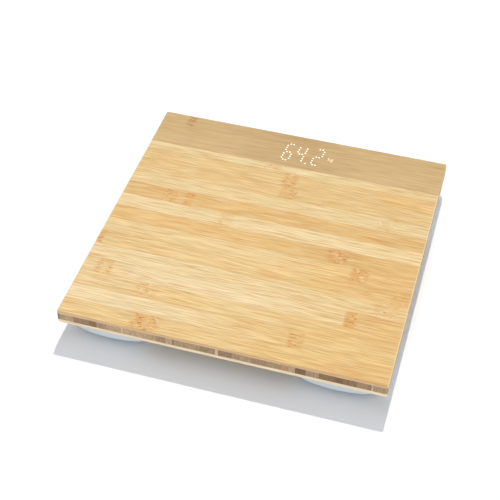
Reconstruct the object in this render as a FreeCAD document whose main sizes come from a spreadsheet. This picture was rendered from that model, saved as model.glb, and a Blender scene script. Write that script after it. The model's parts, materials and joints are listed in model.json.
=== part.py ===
"""Digital bathroom scale with a bamboo platform, as a parametric FreeCAD document.

The frame has its origin on the floor under the middle of the platform. +X is to the right,
+Y is towards the display at the back, and +Z is up. Lengths are in millimetres.
"""

import FreeCAD, Part
import math
import os
import Sketcher
from FreeCAD import Placement, Rotation, Vector

SIZES = {
    # platform
    "board_width": 300,
    "board_depth": 300,
    "board_corner": 1.5,
    "arris": 0.8,
    "top_ply": 3,
    "core_ply": 7.6,
    "bottom_ply": 3.4,
    "stand_height": 18,
    "veneer_depth": 50,
    "veneer_thickness": 1,
    # display
    "display_right": 6.5,
    "display_setback": 27.7,
    "mask_width": 74,
    "mask_depth": 34,
    "mask_tab": 3,
    "mask_tab_thickness": 2,
    "mask_gap": 0.3,
    "diffuser_thickness": 0.4,
    "led_board_thickness": 1.6,
    "core_window_margin": 1.7,
    "first_digit": -29.5,
    "digit_pitch": 13.5,
    "point_gap": 4.3,
    "digit_width": 7.6,
    "digit_height": 25.7,
    "dot_pitch_across": 3,
    "dot_pitch_up": 3.5,
    "lean": 0.096,
    "well": 2,
    "unit_well_width": 11,
    "unit_well_depth": 5,
    "unit_well_right": 27,
    "chip_width": 1.6,
    "chip_depth": 0.8,
    "chip_height": 0.6,
    # electronics housing
    "housing_width": 116,
    "housing_depth": 86,
    "housing_height": 11,
    "housing_inset": 3.5,
    "housing_corner": 8,
    "housing_edge": 2,
    "housing_wall": 2,
    "housing_floor": 2.6,
    "window_side": 48,
    "window_gap": 0.5,
    "window_back": 9,
    "post_diameter": 7,
    "post_inset": 5.5,
    "post_back_inset": 5,
    # battery compartment and door
    "battery_diameter": 10.5,
    "battery_length": 44.5,
    "battery_nub_diameter": 3.8,
    "battery_nub": 1,
    "battery_gap": 0.4,
    "battery_setback": 5,
    "spring_space": 3.7,
    "plate_space": 1,
    "contact_thickness": 0.4,
    "contact_width": 7,
    "contact_height": 8.4,
    "compartment_wall": 1.6,
    "compartment_roof": 1,
    "door_tongue": 1.5,
    "door_plate": 1,
    "door_tongue_thickness": 0.9,
    "door_cover": 1.9,
    "door_fit": 0.3,
    "door_slip": 0.1,
    "grip_width": 18,
    "grip_pitch": 2.4,
    "grip_bar": 1.2,
    "grip_bars": 3,
    "grip_height": 0.6,
    # main board
    "main_board_side": 46,
    "main_board_front_gap": 1.8,
    "main_board_depth": 38,
    "main_board_thickness": 1.6,
    "main_board_drop": 3.5,
    "board_boss_diameter": 5,
    "board_boss_inset": 4,
    "header_length": 25.4,
    "header_pins": 10,
    "header_pitch": 2.54,
    "header_pin": 0.64,
    "header_base": 2.5,
    "header_inset": 3,
    "controller_size": 10,
    "controller_height": 1.6,
    "controller_forward": 3,
    # unit button
    "button_left": 20,
    "button_forward": 15,
    "button_diameter": 9,
    "button_proud": 0.4,
    "button_fit": 0.3,
    "button_flange": 1,
    "button_flange_thickness": 0.8,
    "button_travel": 0.8,
    "button_edge": 0.4,
    "switch_size": 6,
    "switch_height": 1.8,
    "plunger_diameter": 3.4,
    "plunger_gap": 0.1,
    # screws
    "screw_head": 5.6,
    "screw_head_height": 1.6,
    "screw_shank": 2.6,
    "screw_bite": 3,
    "screw_gap": 0.3,
    "board_screw_head": 3.8,
    "board_screw_head_height": 1.3,
    "board_screw_shank": 1.8,
    "board_screw_bite": 3,
    # feet
    "foot_inset": 46,
    "pod_width": 82,
    "pod_bow": 130,
    "pod_corner": 18,
    "flange_overhang": 2,
    "flange_thickness": 3,
    "skirt_fit": 0.5,
    "skirt_wall": 2,
    "skirt_depth": 5,
    "foot_screw_offset": 26,
    "foot_boss": 7,
    "foot_boss_height": 2.5,
    "rib_thickness": 1.6,
    "rib_offset": 13,
    "cap_gap": 0.8,
    "cap_height": 10.2,
    "cap_wall": 2,
    "cap_floor": 2,
    "cap_edge": 1.5,
    "foot_travel": 0.4,
    "thrust_boss": 10,
    "thrust_tip": 6,
    "thrust_tip_height": 0.8,
    "thrust_gap": 0.1,
    "cap_rib_height": 2.5,
    "hook_width": 8,
    "hook_thickness": 1.6,
    "hook_barb": 1,
    "hook_barb_height": 1.2,
    "hook_clear": 1,
    "hook_fit": 0.5,
    "hook_drop": 0.4,
    "pad_inset": 11,
    "pad_recess": 0.8,
    "pad_fit": 0.2,
    "pad_edge": 1.2,
    "pad_dimple": 26,
    "pad_dimple_depth": 1.5,
    # load cells
    "cell_size": 34,
    "cell_corner": 3,
    "cell_thickness": 1.6,
    "cell_seat": 2.5,
    "cell_frame": 5,
    "cell_root": 9,
    "cell_slot": 2.5,
    "cell_fit": 0.3,
    "cell_wall": 2.7,
    "cell_wall_overlap": 2,
    "cell_seat_width": 3.5,
    "cell_hole": 4,
    "gauge_length": 7,
    "gauge_width": 5,
    "gauge_height": 0.8,
    # leads
    "lead_width": 3.6,
    "lead_thickness": 1.2,
    "lead_gap": 0.3,
    "lead_bend": 1.5,
    "lead_sweep": 14,
    "lead_slot": 5,
    "groove_depth": 2.2,
    "front_lead_bend_near": -12,
    "front_lead_bend_far": 48,
    "front_lead_right": 36,
    "front_lead_pad": 6,
    "rear_lead_bend_near": 77,
    "rear_lead_bend_far": 57,
    "rear_lead_shift": 12,
    "rear_lead_right": 43,
}

CORNERS = {
    "front_left": (-1, -1, -90),
    "front_right": (1, -1, -90),
    "rear_left": (-1, 1, 180),
    "rear_right": (1, 1, 0),
}

# How far an edge may stray from a line and still count as lying on it.
SLACK = 1e-4
# How far a lead's volume may stray from its section times its length.
LEAD_SLACK = 0.01

doc = FreeCAD.newDocument("BathroomScale")


class Size:
    """A length that knows its value now and the sheet expression that it comes from."""

    def __init__(self, value, text):
        self.value = value
        self.text = text

    def __float__(self):
        return float(self.value)

    def _with(self, other, sign, value, swapped=False):
        mine, theirs = self.text, getattr(other, "text", str(other))
        left, right = (theirs, mine) if swapped else (mine, theirs)
        return Size(value, f"({left} {sign} {right})")

    def __add__(self, other):
        return self._with(other, "+", self.value + float(other))

    def __radd__(self, other):
        return self._with(other, "+", float(other) + self.value, swapped=True)

    def __sub__(self, other):
        return self._with(other, "-", self.value - float(other))

    def __rsub__(self, other):
        return self._with(other, "-", float(other) - self.value, swapped=True)

    def __mul__(self, other):
        return self._with(other, "*", self.value * float(other))

    def __rmul__(self, other):
        return self._with(other, "*", float(other) * self.value, swapped=True)

    def __truediv__(self, other):
        return self._with(other, "/", self.value / float(other))

    def __neg__(self):
        return Size(-self.value, f"(0 - {self.text})")


class Sheet:
    """The document's spreadsheet: one alias for each driving size."""

    def __init__(self, sizes):
        self.cells = doc.addObject("Spreadsheet::Sheet", "Sizes")
        for row, (name, value) in enumerate(sizes.items(), start=1):
            self.cells.set(f"A{row}", name)
            self.cells.set(f"B{row}", str(value))
            self.cells.setAlias(f"B{row}", name)
            setattr(self, name, Size(value, f"Sizes.{name}"))
        doc.recompute()


s = Sheet(SIZES)

# Levels above the floor and places that several pieces share.
CORE_LEVEL = s.stand_height + s.bottom_ply
TOP_LEVEL = CORE_LEVEL + s.core_ply
VENEER_LEVEL = TOP_LEVEL + s.top_ply - s.veneer_thickness
VENEER_FRONT = s.board_depth / 2 - s.veneer_depth
DISPLAY_BACK = s.board_depth / 2 - s.display_setback
HOUSING_BACK = s.board_depth / 2 - s.housing_inset - s.housing_depth / 2
WINDOW_REAR = s.board_depth / 2 - s.window_back
FOOT_OFFSET = s.board_width / 2 - s.foot_inset
FOOT_BACK = s.board_depth / 2 - s.foot_inset
LEAD_LEVEL = s.stand_height + s.lead_gap + s.lead_thickness / 2

# Levels in the electronics housing, measured from the underside of the platform.
FLOOR_OUTSIDE = -s.housing_height
FLOOR_INSIDE = FLOOR_OUTSIDE + s.housing_floor
TONGUE_LEVEL = FLOOR_OUTSIDE + s.door_plate
DOOR_INSIDE = TONGUE_LEVEL + s.door_tongue_thickness
BATTERY_AXIS = DOOR_INSIDE + s.battery_gap + s.battery_diameter / 2
ROOF_INSIDE = BATTERY_AXIS + s.battery_diameter / 2 + s.battery_gap
MAIN_BOARD_UNDERSIDE = -s.main_board_drop
MAIN_BOARD_TOP = MAIN_BOARD_UNDERSIDE + s.main_board_thickness

# The battery compartment, measured from the middle of the housing.
CELL_COUNT = 3
BATTERY_PITCH = s.battery_diameter + s.battery_gap
COMPARTMENT_LENGTH = s.spring_space + s.battery_length + s.plate_space
COMPARTMENT_DEPTH = CELL_COUNT * BATTERY_PITCH + s.battery_gap
COMPARTMENT_FRONT = s.battery_setback - s.housing_depth / 2
COMPARTMENT_BACK = COMPARTMENT_FRONT + COMPARTMENT_DEPTH
DOOR_HALF = COMPARTMENT_LENGTH / 2 + s.door_cover + s.door_tongue
DOOR_BACK = COMPARTMENT_BACK + s.door_cover
MAIN_BOARD_FRONT = COMPARTMENT_BACK + s.compartment_wall + s.main_board_front_gap
MAIN_BOARD_BACK = MAIN_BOARD_FRONT + s.main_board_depth
POST_RIGHT = s.housing_width / 2 - s.post_inset
POST_BACK = s.housing_depth / 2 - s.post_back_inset
BUTTON_BACK = MAIN_BOARD_FRONT + s.button_forward

# Levels in a foot, measured down from the underside of the platform.
FLANGE_UNDERSIDE = -s.flange_thickness
CELL_TOP = FLANGE_UNDERSIDE - s.cell_seat
CELL_UNDERSIDE = CELL_TOP - s.cell_thickness
CAP_TOP = FLANGE_UNDERSIDE - s.cap_gap
CAP_UNDERSIDE = CAP_TOP - s.cap_height
CAP_INSIDE = CAP_UNDERSIDE + s.cap_floor
PAD_TOP = CAP_UNDERSIDE + s.pad_recess
SKIRT_INSET = s.cap_wall + s.skirt_fit
SKIRT_INSIDE = SKIRT_INSET + s.skirt_wall
HOOK_OUTSIDE = s.pod_width / 2 - SKIRT_INSIDE - s.hook_fit
LEAD_DROP = s.cell_size / 2 - s.cell_frame / 2


def bind(obj, path, size):
    """Ties one property of an object to the sheet, unless its size is a plain number."""
    if isinstance(size, Size):
        obj.setExpression(path, size.text)


def place(obj, across=0, back=0, up=0, turn=0):
    """Puts an object at a place that follows the sheet, turned about its own Z axis."""
    spot = Vector(float(across), float(back), float(up))
    obj.Placement = Placement(spot, Rotation(Vector(0, 0, 1), turn))
    bind(obj, "Placement.Base.x", across)
    bind(obj, "Placement.Base.y", back)
    bind(obj, "Placement.Base.z", up)


def new_body(label, across=0, back=0, up=0, turn=0):
    """Makes an empty PartDesign body with its own label and place."""
    body = doc.addObject("PartDesign::Body", label)
    body.AllowCompound = True
    place(body, across, back, up, turn)
    return body


def origin_feature(body, role):
    """Finds one of a body's origin planes or axes by its role."""
    return next(part for part in body.Origin.OriginFeatures if part.Role == role)


class Outline:
    """A sketch on an origin plane of its body, whose dimensions follow the sheet."""

    def __init__(self, body, name, level=0, plane="XY_Plane"):
        self.body = body
        self.sketch = body.newObject("Sketcher::SketchObject", f"{body.Name}_{name}")
        self.sketch.AttachmentSupport = [(origin_feature(body, plane), "")]
        self.sketch.MapMode = "FlatFace"
        self.sketch.AttachmentOffset = Placement(Vector(0, 0, float(level)), Rotation())
        bind(self.sketch, "AttachmentOffset.Base.z", level)
        self.rules = []
        self.sizes = []

    def rule(self, *words):
        """Keeps a geometric constraint for the sketch."""
        self.rules.append(Sketcher.Constraint(*words))
        self.sizes.append(None)

    def dimension(self, *words):
        """Keeps a dimension, whose last word is its size."""
        *where, size = words
        self.rules.append(Sketcher.Constraint(*where, float(size)))
        self.sizes.append(size if isinstance(size, Size) else None)

    def done(self):
        """Adds the constraints at once and ties the dimensions to the sheet."""
        self.sketch.addConstraint(self.rules)
        for index, size in enumerate(self.sizes):
            if size is not None:
                self.sketch.renameConstraint(index, f"size_{index}")
                self.sketch.setExpression(f"Constraints.size_{index}", size.text)
        return self.sketch

    def line(self, start, end):
        """Draws a straight edge between two points."""
        first = Vector(float(start[0]), float(start[1]), 0)
        last = Vector(float(end[0]), float(end[1]), 0)
        return self.sketch.addGeometry(Part.LineSegment(first, last))

    def arc(self, centre, radius, start, end):
        """Draws an arc about a centre, from one direction to another in degrees."""
        middle = Vector(float(centre[0]), float(centre[1]), 0)
        circle = Part.Circle(middle, Vector(0, 0, 1), float(radius))
        ends = math.radians(start), math.radians(end)
        return self.sketch.addGeometry(Part.ArcOfCircle(circle, *ends))

    def circle(self, across, back, diameter):
        """Draws a full circle."""
        middle = Vector(float(across), float(back), 0)
        ring = Part.Circle(middle, Vector(0, 0, 1), float(diameter) / 2)
        index = self.sketch.addGeometry(ring)
        self.dimension("DistanceX", -1, 1, index, 3, across)
        self.dimension("DistanceY", -1, 1, index, 3, back)
        self.dimension("Diameter", index, diameter)
        return self

    def polygon(self, points):
        """Draws a closed outline through points, each held by its distances from the origin."""
        pairs = zip(points, points[1:] + points[:1])
        sides = [self.line(start, end) for start, end in pairs]
        for index, side in enumerate(sides):
            self.rule("Coincident", sides[index - 1], 2, side, 1)
            self.dimension("DistanceX", -1, 1, side, 1, points[index][0])
            self.dimension("DistanceY", -1, 1, side, 1, points[index][1])
        return self

    def rectangle(self, left, front, right, back):
        """Draws a rectangle between two corners."""
        corners = [(left, front), (right, front), (right, back), (left, back)]
        return self.polygon(corners)

    def middle_rectangle(self, across, back, width, depth):
        """Draws a rectangle about a middle point."""
        half_width, half_depth = width / 2, depth / 2
        left, right = across - half_width, across + half_width
        return self.rectangle(left, back - half_depth, right, back + half_depth)

    def rounded(self, left, front, right, back, radius):
        """Draws a rectangle with rounded corners."""
        inner = [
            (right - radius, front + radius),
            (right - radius, back - radius),
            (left + radius, back - radius),
            (left + radius, front + radius),
        ]
        arcs = [
            self.arc(centre, radius, 90 * turn - 90, 90 * turn)
            for turn, centre in enumerate(inner)
        ]
        sides = [
            self.line((right, front + radius), (right, back - radius)),
            self.line((right - radius, back), (left + radius, back)),
            self.line((left, back - radius), (left, front + radius)),
            self.line((left + radius, front), (right - radius, front)),
        ]
        for index, arc in enumerate(arcs):
            self.rule("Tangent", arc, 2, sides[index], 1)
            self.rule("Tangent", sides[index], 2, arcs[(index + 1) % 4], 1)
            self.dimension("Radius", arc, radius)
        self.dimension("DistanceX", -1, 1, sides[0], 1, right)
        self.dimension("DistanceY", -1, 1, sides[1], 1, back)
        self.dimension("DistanceX", -1, 1, sides[2], 1, left)
        self.dimension("DistanceY", -1, 1, sides[3], 1, front)
        self.rule("Vertical", sides[0])
        self.rule("Horizontal", sides[1])
        self.rule("Vertical", sides[2])
        self.rule("Horizontal", sides[3])
        return self

    def pillow(self, inset):
        """Draws the foot's outline: four bowed sides that run into rounded corners."""
        bow, corner = s.pod_bow - inset, s.pod_corner - inset
        shift = s.pod_bow - s.pod_width / 2
        reach = float(s.pod_bow) - float(s.pod_corner)
        diagonal = (math.sqrt(2 * reach**2 - float(shift) ** 2) - float(shift)) / 2
        half = math.degrees(math.atan2(diagonal, float(shift) + diagonal))
        bows, corners = [], []
        for turn in range(4):
            spin = Rotation(Vector(0, 0, 1), 90 * turn)
            bow_centre = spin.multVec(Vector(-float(shift), 0, 0))
            corner_centre = spin.multVec(Vector(diagonal, diagonal, 0))
            facing = 90 * turn
            bows.append(self.arc(bow_centre, bow, facing - half, facing + half))
            corners.append(self.arc(corner_centre, corner, facing + half, facing + 90 - half))
        for turn in range(4):
            self.rule("Tangent", bows[turn], 2, corners[turn], 1)
            self.rule("Tangent", corners[turn], 2, bows[(turn + 1) % 4], 1)
            self.dimension("Radius", corners[turn], corner)
            self.dimension("Radius", bows[turn], bow)
            side = -1 if turn < 2 else 1
            along, still = ("X", "Y") if turn % 2 == 0 else ("Y", "X")
            self.dimension(f"Distance{along}", -1, 1, bows[turn], 3, shift * side)
            self.dimension(f"Distance{still}", -1, 1, bows[turn], 3, 0)
        return self


def pad(outline, name, height, down=False):
    """Raises a solid from an outline, or lowers it."""
    body = outline.body
    sketch = outline.done()
    feature = body.newObject("PartDesign::Pad", f"{body.Name}_{name}")
    feature.Profile = sketch
    feature.Length = float(height)
    feature.Reversed = down
    bind(feature, "Length", height)
    doc.recompute()
    return feature


def pocket(outline, name, depth=None, up=False):
    """Cuts an outline into its body, downwards or upwards, to a depth or right through."""
    body = outline.body
    before = body.Shape.Volume
    sketch = outline.done()
    feature = body.newObject("PartDesign::Pocket", f"{body.Name}_{name}")
    feature.Profile = sketch
    feature.Reversed = up
    if depth is None:
        feature.Type = "ThroughAll"
    else:
        feature.Length = float(depth)
        bind(feature, "Length", depth)
    doc.recompute()
    if not body.Shape.Volume < before:
        raise ValueError(f"{feature.Name} cuts nothing")
    return feature


def edges(body, test):
    """Names the edges of a body's last feature that pass a test."""
    found = enumerate(body.Tip.Shape.Edges, start=1)
    return [f"Edge{number}" for number, edge in found if test(edge)]


def at_level(edge, level):
    """Says whether an edge lies flat at a height."""
    box = edge.BoundBox
    return abs(box.ZMin - float(level)) < SLACK and abs(box.ZMax - float(level)) < SLACK


def level_edges(body, level):
    """Names the edges of a body's last feature that lie flat at a height."""
    return edges(body, lambda edge: at_level(edge, level))


def blend(body, name, names, radius, kind="Fillet"):
    """Rounds or chamfers the named edges of a body."""
    base = body.Tip
    feature = body.newObject(f"PartDesign::{kind}", f"{body.Name}_{name}")
    feature.Base = (base, names)
    path = "Radius" if kind == "Fillet" else "Size"
    setattr(feature, path, float(radius))
    bind(feature, path, radius)
    doc.recompute()
    return feature


def polar(body, name, features, count):
    """Repeats features of a body about its Z axis."""
    pattern = body.newObject("PartDesign::PolarPattern", f"{body.Name}_{name}")
    pattern.Originals = features
    pattern.Axis = (origin_feature(body, "Z_Axis"), [""])
    pattern.Angle = 360
    pattern.Occurrences = count
    body.Tip = pattern
    doc.recompute()
    return pattern


def screws(label, spots, level, head, head_height, shank, length, turn=0, place_at=(0, 0, 0)):
    """Makes a group of pan-head screws that point up from their heads at a level."""
    body = new_body(label, *place_at, turn=turn)
    heads = Outline(body, "heads", level)
    shanks = Outline(body, "shanks", level)
    for across, back in spots:
        heads.circle(across, back, head)
        shanks.circle(across, back, shank)
    pad(heads, "head", head_height, down=True)
    pad(shanks, "shank", length)
    return body


# ---------------------------------------------------------------- platform


def board_outline(body, name):
    """The platform's square outline with slightly eased corners."""
    half_width, half_depth = s.board_width / 2, s.board_depth / 2
    outline = Outline(body, name)
    return outline.rounded(-half_width, -half_depth, half_width, half_depth, s.board_corner)


def show_arris(body, level):
    """Names the edges round the board's top, without the joint of ply and veneer."""
    def shows(edge):
        box = edge.BoundBox
        joint = abs(box.YMin - float(VENEER_FRONT)) < SLACK and box.YLength < SLACK
        return at_level(edge, level) and not joint
    return edges(body, shows)


def top_ply():
    """The pale show ply, rebated for the veneer and open over the light mask."""
    body = new_body("top_ply", up=TOP_LEVEL)
    pad(board_outline(body, "board"), "ply", s.top_ply)
    margin = s.board_width
    rebate = Outline(body, "rebate", s.top_ply)
    rebate.rectangle(-margin, VENEER_FRONT, margin, s.board_depth)
    pocket(rebate, "rebate_cut", s.veneer_thickness)
    window = Outline(body, "window", s.top_ply)
    gap = s.mask_gap * 2
    window.middle_rectangle(s.display_right, DISPLAY_BACK, s.mask_width + gap, s.mask_depth + gap)
    pocket(window, "window_cut")
    blend(body, "arris", show_arris(body, s.top_ply), s.arris)
    return body


def display_veneer():
    """The darker strip of thin veneer across the back, through which the dots shine."""
    body = new_body("display_veneer", up=VENEER_LEVEL)
    pad(board_outline(body, "board"), "sheet", s.veneer_thickness)
    front = Outline(body, "front", s.veneer_thickness)
    front.rectangle(-s.board_width, -s.board_depth, s.board_width, VENEER_FRONT)
    pocket(front, "front_cut")
    blend(body, "arris", show_arris(body, s.veneer_thickness), s.arris)
    return body


def core_ply():
    """The brown carbonised core, open around the LED board."""
    body = new_body("core_ply", up=CORE_LEVEL)
    pad(board_outline(body, "board"), "ply", s.core_ply)
    window = Outline(body, "window", s.core_ply)
    half = s.mask_width / 2 + s.mask_tab + s.core_window_margin
    half_depth = s.mask_depth / 2 + s.core_window_margin
    window.rectangle(
        s.display_right - half, DISPLAY_BACK - half_depth,
        s.display_right + half, DISPLAY_BACK + half_depth,
    )
    pocket(window, "window_cut")
    return body


def screw_spots():
    """Lists the middles of all screws that bite into the bottom ply."""
    spots = []
    for right, back, _ in CORNERS.values():
        for side in (-1, 1):
            shift = s.foot_screw_offset * side
            twist = side * back
            across = FOOT_OFFSET * right + shift
            spots.append((across, FOOT_BACK * back + s.foot_screw_offset * twist))
    for right in (-1, 1):
        for back in (-1, 1):
            spots.append((POST_RIGHT * right, HOUSING_BACK + POST_BACK * back))
    return spots


def straight(start, end):
    """Gives a straight edge between two points."""
    return Part.LineSegment(start, end).toShape()


def rounded_path(points, radius):
    """Joins straight runs with tangent arcs and gives the edges in order."""
    shapes, start = [], points[0]
    for before, corner, after in zip(points, points[1:], points[2:]):
        into, out = (corner - before).normalize(), (after - corner).normalize()
        setback = radius * into.cross(out).Length / (1 + into.dot(out))
        enter, leave = corner - into * setback, corner + out * setback
        toward = (out - into).normalize()
        height = math.hypot(radius, setback)
        middle = corner + toward * (height - radius)
        shapes.append(straight(start, enter))
        shapes.append(Part.Arc(enter, middle, leave).toShape())
        start = leave
    shapes.append(straight(start, points[-1]))
    return shapes


def lead_corners(corner):
    """Gives the turning points of a lead's level run, from its load cell to the main board."""
    right, back, _ = CORNERS[corner]
    across, depth = float(FOOT_OFFSET) * right, float(FOOT_BACK) * back
    level = float(LEAD_LEVEL)
    if back < 0:
        end = float(HOUSING_BACK + MAIN_BOARD_FRONT + s.front_lead_pad)
        spots = [
            (across, depth + float(LEAD_DROP)),
            (across, float(s.front_lead_bend_near)),
            (float(s.front_lead_right) * right, float(s.front_lead_bend_far)),
            (float(s.front_lead_right) * right, end),
        ]
    else:
        end = depth + float(s.rear_lead_shift)
        spots = [
            (across - float(LEAD_DROP) * right, depth),
            (float(s.rear_lead_bend_near) * right, depth),
            (float(s.rear_lead_bend_far) * right, end),
            (float(s.rear_lead_right) * right, end),
        ]
    return [Vector(x, y, level) for x, y in spots]


def groove_tools():
    """Makes the milled grooves that the four leads lie in."""
    half = float(s.lead_width) / 2 + float(s.lead_gap)
    depth = float(s.groove_depth)
    tools = []
    for corner in CORNERS:
        points = [Vector(p.x, p.y, float(s.stand_height)) for p in lead_corners(corner)]
        route = Part.Wire(rounded_path(points, float(s.lead_sweep)))
        slot = route.makeOffset2D(half, 0, False, False)
        tools.append(Part.Face(slot).extrude(Vector(0, 0, depth)))
    feature = doc.addObject("Part::Feature", "lead_grooves")
    feature.Shape = Part.Compound(tools)
    return feature


def bottom_ply():
    """The cream balancing ply, open over the electronics, grooved and drilled."""
    body = new_body("bottom_ply_blank", up=s.stand_height)
    pad(board_outline(body, "board"), "ply", s.bottom_ply)
    window = Outline(body, "window", s.bottom_ply)
    front = HOUSING_BACK + COMPARTMENT_FRONT - s.compartment_wall - s.window_gap
    window.rectangle(-s.window_side, front, s.window_side, WINDOW_REAR)
    pocket(window, "window_cut")
    holes = Outline(body, "pilots")
    for across, back in screw_spots():
        holes.circle(across, back, s.screw_shank)
    pocket(holes, "pilot_cut", s.screw_bite, up=True)
    cut = doc.addObject("Part::Cut", "bottom_ply")
    cut.Base = body
    cut.Tool = groove_tools()
    doc.recompute()
    return cut


# ---------------------------------------------------------------- display


def digit_middles():
    """Gives the four digits' places across; the point stands before the last of them."""
    first = s.first_digit
    wide = s.digit_pitch + s.point_gap
    second, third = first + s.digit_pitch, first + s.digit_pitch * 2
    return [first, second, third, third + wide]


def digit_segments(middle, segments="abcdefg"):
    """Gives a digit's segments, each a short row of dots, leaning to the right."""
    half_width, half_height = s.digit_width / 2, s.digit_height / 2
    pair = [(s.dot_pitch_across * side / 2, 0) for side in (-1, 1)]
    column = [(0, s.dot_pitch_up * step) for step in (-1, 0, 1)]
    places = {
        "a": (0, half_height, pair),
        "b": (half_width, half_height / 2, column),
        "c": (half_width, -half_height / 2, column),
        "d": (0, -half_height, pair),
        "e": (-half_width, -half_height / 2, column),
        "f": (-half_width, half_height / 2, column),
        "g": (0, 0, pair),
    }
    rows = []
    for name in segments:
        across, up, dots = places[name]
        spots = [(x + across, y + up) for x, y in dots]
        rows.append([(middle + x + y * s.lean, y) for x, y in spots])
    return rows


def display_rows():
    """Gives every row of dots in the display, measured from the middle of the light mask."""
    middles = digit_middles()
    rows = digit_segments(middles[0], "bc")
    for middle in middles[1:]:
        rows += digit_segments(middle)
    point_right = middles[2] + (s.digit_pitch + s.point_gap) / 2
    point_level = -s.digit_height / 2
    return rows + [[(point_right + point_level * s.lean, point_level)]]


def light_mask():
    """The moulded mask under the veneer: a well for each dot and one for the unit."""
    tab_underside = -s.mask_tab_thickness
    height = s.top_ply - s.veneer_thickness - s.diffuser_thickness
    body = new_body("light_mask", s.display_right, DISPLAY_BACK, TOP_LEVEL)
    block = Outline(body, "block", tab_underside)
    block.middle_rectangle(0, 0, s.mask_width, s.mask_depth)
    pad(block, "block_pad", s.mask_tab_thickness + height)
    tabs = Outline(body, "tabs", tab_underside)
    tab_width = s.mask_width + s.mask_tab * 2
    tabs.middle_rectangle(0, 0, tab_width, s.mask_depth)
    pad(tabs, "tabs_pad", s.mask_tab_thickness)
    for number, row in enumerate(display_rows()):
        wells = Outline(body, f"wells_{number}", height)
        for across, back in row:
            wells.middle_rectangle(across, back, s.well, s.well)
        pocket(wells, f"wells_{number}_cut")
    unit = Outline(body, "unit_well", height)
    unit.middle_rectangle(s.unit_well_right, 0, s.unit_well_width, s.unit_well_depth)
    pocket(unit, "unit_well_cut")
    return body


def diffuser_sheet():
    """The thin milky sheet between the mask and the veneer."""
    level = VENEER_LEVEL - s.diffuser_thickness
    body = new_body("diffuser_sheet", s.display_right, DISPLAY_BACK, level)
    sheet = Outline(body, "sheet")
    sheet.middle_rectangle(0, 0, s.mask_width, s.mask_depth)
    pad(sheet, "sheet_pad", s.diffuser_thickness)
    return body


def led_board_level():
    """The underside of the LED board, which seats against the mask."""
    return TOP_LEVEL - s.mask_tab_thickness - s.led_board_thickness


def led_board():
    """The board that carries the LEDs, drilled for the header's pins."""
    body = new_body("led_board", s.display_right, DISPLAY_BACK, led_board_level())
    board = Outline(body, "board")
    board.middle_rectangle(0, 0, s.mask_width, s.mask_depth)
    pad(board, "board_pad", s.led_board_thickness)
    return body


def led_chips():
    """One small LED in each well, and two in the unit's."""
    level = float(TOP_LEVEL - s.mask_tab_thickness)
    across, back = float(s.display_right), float(DISPLAY_BACK)
    width, depth = float(s.chip_width), float(s.chip_depth)
    spots = [(float(x), float(y)) for row in display_rows() for x, y in row]
    quarter = float(s.unit_well_width) / 4
    spots += [(float(s.unit_well_right) + quarter * side, 0.0) for side in (-1, 1)]
    chips = [
        Part.makeBox(
            width, depth, float(s.chip_height),
            Vector(across + x - width / 2, back + y - depth / 2, level),
        )
        for x, y in spots
    ]
    feature = doc.addObject("Part::Feature", "led_chips")
    feature.Shape = Part.Compound(chips)
    return feature


def board_header():
    """The pin header that joins the main board to the LED board."""
    reach = float(led_board_level() - s.stand_height)
    bottom = float(MAIN_BOARD_TOP)
    length, base = float(s.header_length), float(s.header_base)
    pin, pitch = float(s.header_pin), float(s.header_pitch)
    shape = Part.makeBox(length, base, base, Vector(-length / 2, -base / 2, bottom))
    pins = []
    for number in range(s.header_pins.value):
        across = (number - (s.header_pins.value - 1) / 2) * pitch - pin / 2
        corner = Vector(across, -pin / 2, bottom)
        pins.append(Part.makeBox(pin, pin, reach - bottom, corner))
    feature = doc.addObject("Part::Feature", "board_header")
    feature.Shape = shape.fuse(pins).removeSplitter()
    back = HOUSING_BACK + MAIN_BOARD_BACK - s.header_inset
    place(feature, 0, back, s.stand_height)
    return feature


# ---------------------------------------------------------------- electronics


def housing_body(label):
    """A body whose frame is the housing's: the underside of the platform, over its middle."""
    return new_body(label, 0, HOUSING_BACK, s.stand_height)


def corners_of(across, front, back):
    """Gives four places that mirror each other in X, at two depths."""
    return [(across * side, depth) for depth in (front, back) for side in (-1, 1)]


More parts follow.
